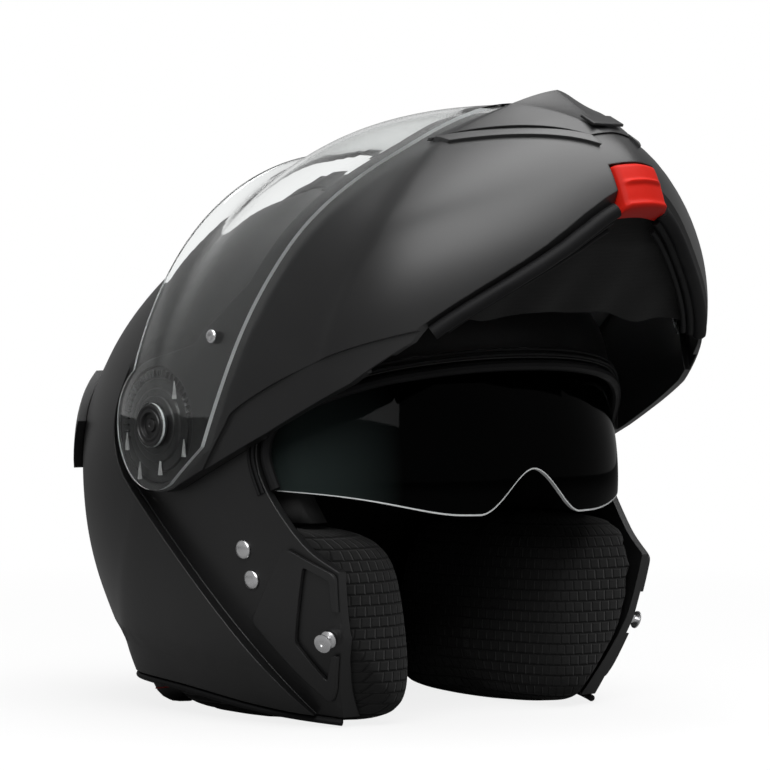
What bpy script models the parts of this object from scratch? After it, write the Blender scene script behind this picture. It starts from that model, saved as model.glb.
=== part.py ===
"""Modular motorcycle helmet with its chin bar raised, built as separate pieces.

Places are given in the side view: across (the wearer's left is positive), forward and up, measured from
the middle of the axis that the chin bar and the visor turn on. The face looks along -Y. Pieces of the chin
bar and the visor are drawn with the chin bar closed, under an empty that raises them.
"""
import math

import bmesh
import bpy
from mathutils import Matrix, Vector

# Outer skin: half width on the hinge axis, then radius and fullness by angle in the side view, 0 forward
HALF_WIDTH = 0.125
SKIN_RADII = (
    (-90, 0.172), (-57, 0.203), (-46, 0.222), (-40, 0.2285), (-34, 0.229), (-28, 0.2205), (-21, 0.205),
    (-14, 0.184), (0, 0.156), (14, 0.131), (27, 0.130), (45, 0.121), (65, 0.119), (90, 0.1166), (112, 0.1125),
    (135, 0.1165), (160, 0.130), (180, 0.146), (205, 0.152), (230, 0.158), (239, 0.1625), (246, 0.171),
)
SKIN_FULLNESS = ((-90, 3.0), (-50, 2.8), (-20, 2.45), (10, 2.2), (100, 2.0), (180, 2.0), (225, 2.4))
FRONT_FULLNESS = (
    (-90, 3.0), (-50, 1.85), (-34, 1.75), (-24, 1.70), (-16, 1.90), (-8, 2.10), (10, 2.2), (100, 2.0),
    (180, 2.0), (225, 2.4),
)
FRONT_SHARE = 0.55
SKIN_FACETS = (40, 20)
WALL_FACETS = (32, 16)
LINING_FACETS = (22, 12)

# Where the helmet stands and how far the chin bar is raised
HINGE_HEIGHT = 0.140
HINGE_Y = 0.0266
CHIN_RAISED = math.radians(68)

# Clearances
SEAT_GAP = 0.0003
SOFT_GAP = 0.0006
RUNNING_GAP = 0.0006

# Shell wall, and the sunk cheek panel that the chin bar's arms run over
SHELL_WALL = 0.004
PANEL_DEPTH = 0.008
PANEL_SETBACK = 0.034
PANEL_RADIUS = max(radius for angle, radius in SKIN_RADII) - PANEL_SETBACK
PANEL_FULLNESS = 2.7
STEP_DISTANCE = 0.0385
STEP_ANGLE = math.radians(-44)
STEP_LENGTH = 0.165
STEP_SLOPE = 0.8
STEP_FALL = 0.024
RECESS_TOP_ANGLE = math.radians(66)
RECESS_INSIDE = 0.046
RECESS_OUTSIDE = 0.019
RECESS_REACH = 0.250

# Face opening and bottom rim in the side view, as forward and up
FACE_EDGE = (
    (0.126, 0.032), (0.103, 0.024), (0.080, 0.012), (0.066, 0.000), (0.062, -0.014), (0.068, -0.030),
    (0.088, -0.054), (0.106, -0.066), (0.102, -0.097), (0.092, -0.122), (0.086, -0.140),
)
RIM_EDGE = ((0.086, -0.1355), (0.050, -0.1320), (0.000, -0.1255), (-0.060, -0.1225), (-0.200, -0.1215))
CUT_REACH = 0.320

# Lining
LINER_THICKNESS = 0.030
LINER_SIDE_UP = -0.045
LINER_REAR_UP = -0.104
LINER_REAR_FORWARD = -0.045
LINER_FACE_BACK = 0.006
CROWN_PAD_THICKNESS = 0.009
CROWN_PAD_UP = -0.020
CHEEK_INNER = 0.043
CHEEK_FRONT = 0.103
CHEEK_REAR = -0.030
CHEEK_CROWN = 5.0
CHEEK_HALF_DEPTH = 0.055
NECK_RADIUS = 0.0145
NECK_FORWARD = -0.0338
NECK_UP = -0.1265
NECK_TAPER = 0.45
NECK_STEPS = 11
REST_FLAT = 0.0005

# Sun visor, on its own axis below and inside the chin bar's
SUN_AXIS_UP = -0.027
SUN_BROW_GAP = 0.0056
SUN_SIDE_GAP = 0.0015
SUN_ARM_WIDTH = 0.0050
SUN_FULLNESS = 2.7
SUN_RADIUS = math.hypot(FACE_EDGE[0][0], FACE_EDGE[0][1] - SUN_AXIS_UP) - SHELL_WALL - SUN_BROW_GAP
SUN_HALF_WIDTH = HALF_WIDTH - PANEL_DEPTH - SHELL_WALL - SUN_SIDE_GAP
SUN_REACH = SUN_HALF_WIDTH - SUN_ARM_WIDTH
SUN_THICKNESS = 0.0022
SUN_TOP = math.radians(33)
SUN_BOTTOM = math.radians(-6.6)
SUN_NOSE_RISE = math.radians(9.5)
SUN_NOSE_HALF = 0.033
SUN_SIDE_RISE = math.radians(4)
SUN_SLOT_GAP = 0.0026
SUN_BOSS = 0.012
SUN_ARM_RADIUS = 0.009
SUN_PIN_RADIUS = 0.004
SLIDER_FRONT = 0.014
SLIDER_LENGTH = 0.024
SLIDER_TOP = -0.1045
SLIDER_HEIGHT = 0.009
SLIDER_PROUD = 0.0045

# Latch plates, striker pins and strap rivets on the cheek panels
PLATE_EDGE = ((0.0825, -0.055), (0.1025, -0.0685), (0.0905, -0.1205), (0.0835, -0.1195), (0.058, -0.0885))
PLATE_POCKET = ((0.0885, -0.0645), (0.0975, -0.0715), (0.0995, -0.101), (0.086, -0.113), (0.077, -0.100))
PLATE_THICKNESS = 0.0018
PLATE_CORNER = 0.003
PIN_FORWARD = 0.0945
PIN_UP = -0.0975
PIN_BASE_RADIUS = 0.0042
PIN_BASE_HEIGHT = 0.0008
PIN_NECK_START = 0.0018
PIN_NECK_RADIUS = 0.0022
PIN_HEAD_RADIUS = 0.0044
PIN_LENGTH = 0.0058
PIN_HEAD_THICKNESS = 0.0012
RIVET_PLACES = (("upper", 0.051, -0.0575), ("lower", 0.0547, -0.0715))
RIVET_RADIUS = 0.0046
RIVET_HEIGHT = 0.0018
FITTING_FOOT = 0.003

# Chin bar in the side view, closed
CHIN_WALL = 0.004
ARM_RADIUS = 0.032
CHIN_REAR_EDGE = ((0.026, -0.0709), (0.0483, -0.0911), (0.0648, -0.1057), (0.092, -0.1225))
CHIN_CREASE = ((-0.030, -0.033), (0.016, -0.045), (0.032, -0.052), (0.069, -0.088), (0.098, -0.1235))
FLANK_DEPTH = 0.0016
CHIN_BOTTOM_EDGE = ((0.099, -0.1235), (0.147, -0.1415), (0.200, -0.1425))
CHIN_TOP_EDGE = ((0.200, -0.040), (0.150, -0.040), (0.085, -0.032), (0.045, -0.010), (0.026, 0.020))
CHIN_TRIM_RADIUS = 0.0036
CHIN_LINER_THICKNESS = 0.0078
CHIN_LINER_EDGE = ((0.124, -0.1255), (0.147, -0.1340), (0.200, -0.1345), (0.200, -0.0640), (0.124, -0.0600))
CURTAIN_SIDE_GAP = 0.003
CURTAIN_SIDE = 0.103
CURTAIN_MIDDLE = 0.108
CURTAIN_UP = 0.0040
CURTAIN_THICKNESS = 0.0018
RELIEF_INSIDE = 0.070
RELIEF_OUTSIDE = 0.165
RELIEF_FROM = math.radians(-95)
RELIEF_TO = math.radians(-20)
RELIEF_DEPTH = 0.0030
CATCH_THICKNESS = 0.0012
CATCH_DROP = 0.0023
CATCH_LENGTH = 0.016
CATCH_HALF = 0.0052

# Release button in the middle of the chin bar's lower edge
BUTTON_HALF = 0.0135
BUTTON_LOW = math.radians(-41.8)
BUTTON_HIGH = math.radians(-36.2)
BUTTON_PROUD = 0.0016
BUTTON_DEPTH = 0.0085
BUTTON_TRAVEL = 0.004

# Visor and the round plates that it turns on
VISOR_GAP = 0.0021
VISOR_THICKNESS = 0.0022
VISOR_LOBE = 0.031
VISOR_LOWER_EDGE = ((0.0055, -0.039), (0.033, -0.0405), (0.081, -0.0445), (0.145, -0.0535), (0.172, -0.055),
                    (0.215, -0.046))
VISOR_UPPER_EDGE = ((0.215, 0.064), (0.128, 0.0495), (0.064, 0.035), (0.024, 0.027))
PIVOT_PLATE_RADIUS = 0.0275
PIVOT_PLATE_THICKNESS = 0.0045
HUB_RADIUS = 0.0100
HUB_FLANGE_RADIUS = 0.0130
HUB_FLANGE_THICKNESS = 0.0011
HINGE_PIN_RADIUS = 0.0075
LOCK_PIN_RADIUS = 0.0032
LOCK_PIN_HEIGHT = 0.0014
LOCK_PIN_FORWARD = 0.056
LOCK_PIN_UP = -0.0260

# Vents
CHIN_VENT_HALF = 0.060
CHIN_VENT_LOW = math.radians(-31)
CHIN_VENT_PEAK = math.radians(-20.5)
CHIN_VENT_HIGH = math.radians(-18.3)
CHIN_VENT_HEIGHT = 0.0095
VENT_NARROW = 0.013
VENT_WIDE_ANGLE = math.radians(-19.1)
INSERT_HEIGHT = math.radians(2.6)
INSERT_GAP = math.radians(0.25)
INSERT_THICKNESS = 0.0016
VENT_SLIDER_ANGLE = math.radians(-29)
VENT_SLIDER_HALF = 0.0098
VENT_SLIDER_LENGTH = 0.010
VENT_SLIDER_TOP = 0.0046
VENT_SLOT_FLOOR = 0.0012
CROWN_SLIDER_ANGLE = math.radians(100)
CROWN_SLIDER_HALF = 0.0074
CROWN_SLIDER_LENGTH = 0.015
CROWN_SLIDER_TOP = 0.0082
CROWN_SLOT_FLOOR = 0.0022
CROWN_SLIDER_TRAVEL = 0.008
CROWN_VENT_HALF = 0.030
CROWN_VENT_FRONT = math.radians(70)
CROWN_VENT_REAR = math.radians(122)
CROWN_VENT_HEIGHT = 0.0062
REAR_VENT_FORWARD = -0.088
REAR_VENT_TOP = 0.025
REAR_VENT_BOTTOM = -0.024
REAR_VENT_HEIGHT = 0.0045
REAR_SLOTS = (-0.013, 0.008)
REAR_SLOT_HEIGHT = 0.006
REAR_SLOT_HALF = 0.042
THIN_EDGE = 0.0008

# Rubber trim
BROW_TRIM_RADIUS = 0.0026
RIM_TRIM_RADIUS = 0.0017


for leftover in list(bpy.data.objects):
    bpy.data.objects.remove(leftover, do_unlink=True)


def finish(name, colour, roughness, metallic=0.0):
    """A material with one colour, for the pieces made of it."""
    made = bpy.data.materials.new(name)
    made.use_nodes = True
    shader = made.node_tree.nodes["Principled BSDF"]
    shader.inputs["Base Color"].default_value = (*colour, 1.0)
    shader.inputs["Roughness"].default_value = roughness
    shader.inputs["Metallic"].default_value = metallic
    return made


MATTE_BLACK = finish("matte_black_paint", (0.018, 0.018, 0.019), 0.48)
BLACK_PLASTIC = finish("black_plastic", (0.014, 0.014, 0.015), 0.40)
GREY_PLASTIC = finish("grey_plastic", (0.110, 0.110, 0.112), 0.45)
RED_PLASTIC = finish("red_plastic", (0.720, 0.028, 0.012), 0.32)
BLACK_RUBBER = finish("black_rubber", (0.022, 0.022, 0.023), 0.70)
BLACK_FOAM = finish("black_foam", (0.016, 0.016, 0.016), 0.90)
BLACK_FABRIC = finish("black_fabric", (0.020, 0.020, 0.020), 0.95)
STEEL = finish("polished_steel", (0.720, 0.720, 0.730), 0.14, 1.0)
CLEAR_VISOR = finish("clear_visor", (0.780, 0.800, 0.790), 0.05)
SMOKED_VISOR = finish("smoked_visor", (0.030, 0.034, 0.034), 0.06)


def frame(name, parent=None, place=(0, 0, 0), turn=0.0):
    """An empty that carries pieces; turn is about the axis across the helmet."""
    empty = bpy.data.objects.new(name, None)
    bpy.context.collection.objects.link(empty)
    empty.parent = parent
    empty.location = place
    empty.rotation_euler = (turn, 0, 0)
    return empty


HELMET = frame("helmet_frame", None, (0, HINGE_Y, HINGE_HEIGHT))
CHIN = frame("chin_bar_axis", HELMET, turn=-CHIN_RAISED)
VISOR = frame("visor_axis", CHIN)
SUN = frame("sun_visor_axis", HELMET, (0, 0, SUN_AXIS_UP))


def at(across, forward, up):
    """A point of the side view as a place in its frame."""
    return Vector((across, -forward, up))


def piece(name, bm, carrier, material=None):
    """An object from a finished mesh; with no material it is only a cutter."""
    mesh = bpy.data.meshes.new(name)
    bm.to_mesh(mesh)
    bm.free()
    made = bpy.data.objects.new(name, mesh)
    bpy.context.collection.objects.link(made)
    made.parent = carrier
    if material:
        mesh.materials.append(material)
        mesh.shade_smooth()
        mesh.set_sharp_from_angle(angle=math.radians(32))
    else:
        made.hide_render = True
        made.display_type = "WIRE"
    return made


def cut(target, tool, operation="DIFFERENCE"):
    """Cut the tool's shape from the target, or keep or add it."""
    step = target.modifiers.new(tool.name, "BOOLEAN")
    step.operation = operation
    step.solver = "MANIFOLD"
    step.object = tool
    return target


def guided(angle, guide):
    """Smooth value at an angle in radians, through the guide's rows of degrees and values, round and round."""
    degrees = math.degrees(angle)
    degrees -= 360 * math.floor((degrees - guide[0][0]) / 360)
    rows = [(a - 360, v) for a, v in guide[-2:]] + list(guide) + [(a + 360, v) for a, v in guide[:2]]
    here = max(i for i in range(1, len(rows) - 2) if rows[i][0] <= degrees)
    (a0, v0), (a1, v1), (a2, v2), (a3, v3) = rows[here - 1:here + 3]
    span = a2 - a1
    t = (degrees - a1) / span
    slope1 = (v2 - v0) / (a2 - a0) * span
    slope2 = (v3 - v1) / (a3 - a1) * span
    rise = v2 - v1
    return v1 + t * slope1 + t * t * (3 * rise - 2 * slope1 - slope2) + t ** 3 * (slope1 + slope2 - 2 * rise)


def skin_radius(angle):
    return guided(angle, SKIN_RADII)


def mix(a, b, t):
    return a + (b - a) * t


def smooth(t):
    t = min(max(t, 0.0), 1.0)
    return t * t * (3 - 2 * t)


def skin_fullness(angle, share):
    """How full the skin is at an angle; the chin narrows towards the middle of its front."""
    return mix(guided(angle, SKIN_FULLNESS), guided(angle, FRONT_FULLNESS),
               smooth((share - FRONT_SHARE) / (1 - FRONT_SHARE)))


def bulge(share, half_width, fullness):
    """Half width left at a share of the way out from the axis of a rounded form."""
    share = min(share, 1.0)
    return half_width * (1 - share ** fullness) ** (1 / fullness)


def skin_across(forward, up, inset=0.0, side_inset=None):
    """Half width of the outer skin, or of a layer inside it, at a place in the side view."""
    angle = math.atan2(up, forward)
    share = math.hypot(forward, up) / (skin_radius(angle) - inset)
    half_width = HALF_WIDTH - (inset if side_inset is None else side_inset)
    return bulge(share, half_width, skin_fullness(angle, share))


def panel_across(distance, inset=0.0):
    """Half width of the sunk cheek panel at a distance from the hinge axis."""
    return bulge(distance / (PANEL_RADIUS - inset), HALF_WIDTH - PANEL_DEPTH - inset, PANEL_FULLNESS)


def on_skin(across, angle, lift=0.0):
    """The point of the skin at a width and a side-view angle, lifted off it."""
    low = 0.0
    high = 1.0
    for _ in range(40):
        share = (low + high) / 2
        if bulge(share, HALF_WIDTH + lift, skin_fullness(angle, share)) > abs(across):
            low = share
        else:
            high = share
    distance = (skin_radius(angle) + lift) * share
    return at(across, distance * math.cos(angle), distance * math.sin(angle))


def round_form(name, carrier, half_width, radius, fullness, limit=None, material=None, facets=SKIN_FACETS):
    """A closed rounded form about the axis across the helmet; limit caps its half width by distance."""
    bm = bmesh.new()
    bmesh.ops.create_uvsphere(bm, u_segments=facets[0], v_segments=facets[1], radius=1.0)
    for vert in bm.verts:
        angle = math.atan2(vert.co.y, vert.co.x)
        share = min(math.hypot(vert.co.x, vert.co.y), 1.0) ** (2 / fullness(angle, 1.0))
        distance = radius(angle) * share
        across = 0.0 if abs(vert.co.z) < 1e-6 else bulge(share, half_width, fullness(angle, share))
        if limit:
            across = min(across, limit(distance))
        across = -math.copysign(across, vert.co.z)
        vert.co = at(across, distance * math.cos(angle), distance * math.sin(angle))
    bmesh.ops.triangulate(bm, faces=bm.faces, quad_method="FIXED")
    return piece(name, bm, carrier, material)


def skin_form(name, carrier, inset, side_inset=None, material=None, facets=SKIN_FACETS):
    """The outer skin's closed form, drawn in by an inset, or by another one at the sides."""
    half_width = HALF_WIDTH - (inset if side_inset is None else side_inset)
    return round_form(name, carrier, half_width, lambda angle: skin_radius(angle) - inset, skin_fullness,
                      material=material, facets=facets)


def inside_form(name, carrier, inset):
    """The room inside the shell and its cheek panels, drawn in by an inset from both."""
    return round_form(
        name, carrier, HALF_WIDTH - inset,
        lambda angle: min(skin_radius(angle), PANEL_RADIUS) - inset, skin_fullness,
        limit=lambda distance: panel_across(distance, inset), facets=WALL_FACETS,
    )


def fillet(outline, radius, steps=4):
    """The outline of a closed polygon with each corner rounded."""
    rounded = []
    count = len(outline)
    for i, corner in enumerate(outline):
        here = Vector(corner)
        back = Vector(outline[i - 1]) - here
        ahead = Vector(outline[(i + 1) % count]) - here
        bend = math.pi - back.angle(ahead)
        reach = min(radius * math.tan(bend / 2), 0.45 * back.length, 0.45 * ahead.length)
        if bend < math.radians(4):
            rounded.append(corner)
            continue
        start = here + back.normalized() * reach
        end = here + ahead.normalized() * reach
        for step in range(steps + 1):
            t = step / steps
            point = start * (1 - t) ** 2 + here * 2 * t * (1 - t) + end * t ** 2
            rounded.append((point.x, point.y))
    return rounded


def prism(name, carrier, outline, low, high, high_outline=None, material=None):
    """A solid between two side-view outlines of as many points, at two widths across the helmet."""
    bm = bmesh.new()
    near = [bm.verts.new(at(low, forward, up)) for forward, up in outline]
    far = [bm.verts.new(at(high, forward, up)) for forward, up in high_outline or outline]
    bm.faces.new(near)
    bm.faces.new(far)
    for i in range(len(near)):
        bm.faces.new((near[i - 1], near[i], far[i], far[i - 1]))
    bmesh.ops.recalc_face_normals(bm, faces=bm.faces)
    return piece(name, bm, carrier, material)


def full_prism(name, carrier, outline):
    return prism(name, carrier, outline, -2 * HALF_WIDTH, 2 * HALF_WIDTH)


def disc(radius, start=0.0, end=2 * math.pi, steps=32):
    """Points of a round outline about the hinge axis, from one angle to another."""
    closed = 0 if abs(end - start) >= 2 * math.pi else 1
    angles = [start + (end - start) * i / steps for i in range(steps + closed)]
    return [(radius * math.cos(a), radius * math.sin(a)) for a in angles]


def sector(inside, outside, start, end, steps):
    """Outline of a part of a ring about the hinge axis."""
    return disc(outside, start, end, steps) + disc(inside, end, start, steps)


def turned(name, carrier, profile, base, direction, material=None, segments=24):
    """A solid turned about a direction from a base point; the profile is (out along it, radius)."""
    bm = bmesh.new()
    ring = [bm.verts.new((radius, 0, out)) for out, radius in profile]
    edges = [bm.edges.new(pair) for pair in zip(ring, ring[1:])]
    bmesh.ops.spin(bm, geom=ring + edges, cent=(0, 0, 0), axis=(0, 0, 1), angle=2 * math.pi, steps=segments,
                   use_merge=True, dvec=(0, 0, 0))
    bmesh.ops.remove_doubles(bm, verts=bm.verts, dist=1e-6)
    bmesh.ops.recalc_face_normals(bm, faces=bm.faces)
    turn = Vector((0, 0, 1)).rotation_difference(Vector(direction)).to_matrix().to_4x4()
    bmesh.ops.transform(bm, matrix=Matrix.Translation(base) @ turn, verts=bm.verts)
    return piece(name, bm, carrier, material)


def patch(name, carrier, inner, outer, across, along, material=None):
    """A closed solid over a grid: inner(u, v) and outer(u, v) give its two faces, u and v from 0 to 1."""
    bm = bmesh.new()
    bmesh.ops.create_grid(bm, x_segments=across, y_segments=along, size=0.5)
    for vert in bm.verts:
        vert.co += Vector((0.5, 0.5, 0))
    grown = bmesh.ops.extrude_face_region(bm, geom=bm.faces[:])["geom"]
    lifted = {item for item in grown if isinstance(item, bmesh.types.BMVert)}
    for vert in bm.verts:
        surface = outer if vert in lifted else inner
        vert.co = surface(vert.co.x, vert.co.y)
    bmesh.ops.recalc_face_normals(bm, faces=bm.faces)
    if bm.calc_volume(signed=True) < 0:
        bmesh.ops.reverse_faces(bm, faces=bm.faces)
    return piece(name, bm, carrier, material)


def tube(name, carrier, points, radius, material, resolution=1, shares=None):
    """A round strip along points, capped at its ends; shares scale its radius along the way."""
    curve = bpy.data.curves.new(name, "CURVE")
    curve.dimensions = "3D"
    curve.bevel_depth = radius
    curve.bevel_resolution = resolution
    curve.use_fill_caps = True
    spline = curve.splines.new("POLY")
    spline.points.add(len(points) - 1)
    for i, point in enumerate(points):
        spline.points[i].co = (*point, 1)
        if shares:
            spline.points[i].radius = shares[i]
    guide = bpy.data.objects.new(name, curve)
    bpy.context.collection.objects.link(guide)
    solid = guide.evaluated_get(bpy.context.evaluated_depsgraph_get())
    bm = bmesh.new()
    bm.from_mesh(bpy.data.meshes.new_from_object(solid))
    bpy.data.objects.remove(guide, do_unlink=True)
    bmesh.ops.remove_doubles(bm, verts=bm.verts, dist=1e-6)
    bmesh.ops.recalc_face_normals(bm, faces=bm.faces)
    return piece(name, bm, carrier, material)


def block(name, carrier, centre, half, crown, material, around=26, over=14):
    """A stuffed block: full faces, rounded edges and corners."""
    bm = bmesh.new()
    bmesh.ops.create_uvsphere(bm, u_segments=around, v_segments=over, radius=1.0)
    for vert in bm.verts:
        size = sum(abs(c) ** crown for c in vert.co) ** (1 / crown)
        vert.co = Vector(c / size * h for c, h in zip(vert.co, half)) + centre
    return piece(name, bm, carrier, material)


def spaced(points, count):
    """Evenly spaced points along a line of points."""
    lengths = [(b - a).length for a, b in zip(points, points[1:])]
    even = []
    for i in range(count + 1):
        rest = sum(lengths) * i / count
        step = 0
        while step < len(lengths) - 1 and rest > lengths[step]:
            rest -= lengths[step]
            step += 1
        even.append(points[step].lerp(points[step + 1], min(rest / lengths[step], 1.0)))
    return even


def shifted(outline, shift):
    """A side-view line moved sideways by a distance, to the left of its direction."""
    moved = []
    for i, point in enumerate(outline):
        before = Vector(outline[max(i - 1, 0)])
        after = Vector(outline[min(i + 1, len(outline) - 1)])
        run = (after - before).normalized()
        moved.append(Vector((point[0] - run.y * shift, point[1] + run.x * shift)))
    return moved


def edge_path(line, inset, count, surface, stop=0.0):
    """Half of a strip along a side-view line on a layer of the skin, from its start to near the middle."""
    track = []
    for point in spaced(line, 600):
        width = max(surface(point.x, point.y, inset), stop)
        track.append(Vector((width, point.x, point.y)))
        if width == stop:
            break
    return [at(*p) for p in spaced(track, count)]


def mirrored(half_path):
    """A strip's whole path from its half on the left side, which ends in the middle plane."""
    return half_path + [Vector((-p.x, p.y, p.z)) for p in reversed(half_path[:-1])]


SIDES = (("left", 1), ("right", -1))


# Outer shell: dome, sunk cheek panels, face opening and bottom rim
def recess_outline(across):
    """Edge of the sunk panel at a width: round behind the hinge, then two straight tangents forward."""
    near = STEP_DISTANCE + STEP_SLOPE * (across - HALF_WIDTH + VISOR_GAP + VISOR_THICKNESS)
    far = near + STEP_SLOPE * STEP_FALL
    run = Vector((math.cos(STEP_ANGLE), math.sin(STEP_ANGLE)))
    side = Vector((run.y, -run.x))
    end = side * far + run * STEP_LENGTH
    beyond = end + (end - side * near).normalized() * (RECESS_REACH - STEP_LENGTH)
    top = Vector((math.cos(RECESS_TOP_ANGLE), math.sin(RECESS_TOP_ANGLE))) * RECESS_REACH
    lift = Vector((-math.sin(RECESS_TOP_ANGLE), math.cos(RECESS_TOP_ANGLE))) * near
    arc = disc(near, RECESS_TOP_ANGLE + math.pi / 2, STEP_ANGLE - math.pi / 2 + 2 * math.pi, 12)
    return arc + [tuple(end), tuple(beyond), (CUT_REACH, 0.0), tuple(top + lift)]


def recess_tool(side, name):
    low = HALF_WIDTH - RECESS_INSIDE
    high = HALF_WIDTH + RECESS_OUTSIDE
    tool = prism(f"recess_{name}", HELMET, recess_outline(low), side * low, side * high, recess_outline(high))
    return cut(tool, PANEL)


def panel_form(name, carrier, lift):
    """The sunk cheek panels' closed form, raised by a lift."""
    return round_form(name, carrier, HALF_WIDTH - PANEL_DEPTH + lift, lambda angle: PANEL_RADIUS + lift,
                      lambda angle, share: PANEL_FULLNESS, facets=WALL_FACETS)


PANEL = panel_form("panel_form", HELMET, 0.0)

FACE_LAST = Vector(FACE_EDGE[0]) + (Vector(FACE_EDGE[0]) - Vector(FACE_EDGE[1])).normalized() * 0.15
FACE_OUTLINE = [*FACE_EDGE, (FACE_EDGE[-1][0], -CUT_REACH), (CUT_REACH, -CUT_REACH), (CUT_REACH, FACE_LAST.y),
                tuple(FACE_LAST)]
FACE_TOOL = full_prism("face_tool", HELMET, fillet(FACE_OUTLINE, 0.012, 3))
RIM_OUTLINE = [(CUT_REACH, RIM_EDGE[0][1]), *RIM_EDGE, (-CUT_REACH, RIM_EDGE[-1][1]), (-CUT_REACH, -CUT_REACH),
               (CUT_REACH, -CUT_REACH)]
RIM_TOOL = full_prism("rim_tool", HELMET, RIM_OUTLINE)

shell = skin_form("outer_shell", HELMET, 0.0, material=MATTE_BLACK)
for word, hand in SIDES:
    cut(shell, recess_tool(hand, word))
cut(shell, inside_form("shell_inside", HELMET, SHELL_WALL))
cut(shell, FACE_TOOL)
cut(shell, RIM_TOOL)


# Impact liner, crown pad, cheek pads and neck roll
def sun_form(name, lift):
    """A closed form about the sun visor's axis, outside or inside the lens by a lift."""
    return round_form(name, SUN, SUN_HALF_WIDTH + lift, lambda angle: SUN_RADIUS + lift,
                      lambda angle, share: SUN_FULLNESS, facets=LINING_FACETS)


LINER_OUT = SHELL_WALL + SEAT_GAP
LINER_IN = LINER_OUT + LINER_THICKNESS
PAD_OUT = LINER_IN + SEAT_GAP
PAD_IN = PAD_OUT + CROWN_PAD_THICKNESS


def face_tool_back(name, back):
    """The face opening's cut, set back into the lining behind its edge."""
    low = FACE_EDGE[6]
    outline = [(forward - back, up + back) for forward, up in FACE_OUTLINE[:5]]
    outline += [(low[0] - back, low[1]), (low[0] - back, -CUT_REACH), (CUT_REACH, -CUT_REACH),
                (CUT_REACH, FACE_LAST.y + back), (FACE_LAST.x, FACE_LAST.y + back)]
    return full_prism(name, HELMET, outline)


def below_tool(name, side_up, rear_up):
    """All below the lining's lower edge: level at the sides, lower behind."""
    step = LINER_REAR_FORWARD
    outline = [(CUT_REACH, side_up), (step, side_up), (step - 0.02, rear_up), (-CUT_REACH, rear_up),
               (-CUT_REACH, -CUT_REACH), (CUT_REACH, -CUT_REACH)]
    return full_prism(name, HELMET, outline)


SUN_CORE = sun_form("sun_core", -SUN_THICKNESS - SUN_SLOT_GAP)
slot_bound = [(-SUN_BOSS, -SUN_BOSS), (CUT_REACH, -0.25 * CUT_REACH), (CUT_REACH, CUT_REACH),
              (SUN_BOSS, CUT_REACH), (-SUN_BOSS, SUN_BOSS)]
sun_slot = cut(full_prism("sun_slot", SUN, slot_bound), SUN_CORE)

liner = inside_form("impact_liner", HELMET, LINER_OUT)
liner.hide_render = False
liner.display_type = "TEXTURED"
liner.data.materials.append(BLACK_FOAM)
cut(liner, skin_form("liner_inside", HELMET, LINER_IN, facets=LINING_FACETS))
cut(liner, face_tool_back("liner_face_tool", LINER_FACE_BACK))
cut(liner, below_tool("liner_below", LINER_SIDE_UP, LINER_REAR_UP))
cut(liner, sun_slot)

crown_pad = skin_form("crown_pad", HELMET, PAD_OUT, material=BLACK_FABRIC, facets=LINING_FACETS)
cut(crown_pad, skin_form("crown_pad_inside", HELMET, PAD_IN, facets=LINING_FACETS))
cut(crown_pad, face_tool_back("crown_face_tool", 2 * LINER_FACE_BACK))
cut(crown_pad, below_tool("crown_below", CROWN_PAD_UP, LINER_REAR_UP))

REST_UP = -HINGE_HEIGHT
UNDER = full_prism("under_rest", HELMET, [(-CUT_REACH, REST_UP), (CUT_REACH, REST_UP), (CUT_REACH, -CUT_REACH),
                                          (-CUT_REACH, -CUT_REACH)])
PAD_ROOM = inside_form("pad_room", HELMET, SHELL_WALL + SOFT_GAP)
CHEEK_TOP = LINER_SIDE_UP - SOFT_GAP
for word, hand in SIDES:
    low = REST_UP - REST_FLAT
    middle = at(hand * (CHEEK_INNER + CHEEK_HALF_DEPTH), (CHEEK_FRONT + CHEEK_REAR) / 2, (CHEEK_TOP + low) / 2)
    half = (CHEEK_HALF_DEPTH, (CHEEK_FRONT - CHEEK_REAR) / 2, (CHEEK_TOP - low) / 2)
    pad = block(f"cheek_pad_{word}", HELMET, middle, half, CHEEK_CROWN, BLACK_FABRIC)
    cut(pad, PAD_ROOM, "INTERSECT")
    cut(pad, UNDER)

rim_level = RIM_EDGE[2][1]
rim_half = edge_path([Vector((NECK_FORWARD, rim_level)), Vector((-CUT_REACH, rim_level))],
                     SHELL_WALL + 2 * SOFT_GAP, 40, skin_across)
plan = shifted([(p.x, -p.y) for p in rim_half], -NECK_RADIUS)
neck_half = [at(p.x, p.y, NECK_UP) for p in spaced(plan, NECK_STEPS)]
neck_half[-1].x = 0.0
neck_shares = [mix(NECK_TAPER, 1.0, smooth(3 * i / NECK_STEPS)) for i in range(NECK_STEPS + 1)]
neck_roll = tube("neck_roll", HELMET, mirrored(neck_half), NECK_RADIUS, BLACK_FABRIC, 2,
                 neck_shares + neck_shares[-2::-1])
cut(neck_roll, UNDER)


# Rubber trim along the brow and along the shell's bottom rim
def shell_across(forward, up, inset):
    """Half width of the shell in front of its hinge: the skin, or the sunk panel where that is narrower."""
    return min(skin_across(forward, up, inset), panel_across(math.hypot(forward, up), inset))


brow_line = shifted([*reversed(FACE_EDGE[:6]), FACE_LAST], -(BROW_TRIM_RADIUS + RUNNING_GAP))
tube("brow_trim", HELMET, mirrored(edge_path(brow_line, BROW_TRIM_RADIUS + SEAT_GAP, 16, shell_across)),
     BROW_TRIM_RADIUS, BLACK_RUBBER)

rim_line = shifted(RIM_EDGE, RIM_TRIM_RADIUS + RUNNING_GAP)
tube("rim_trim", HELMET, mirrored(edge_path(rim_line, SHELL_WALL / 2, 18, skin_across)),
     RIM_TRIM_RADIUS, BLACK_RUBBER)


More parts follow.
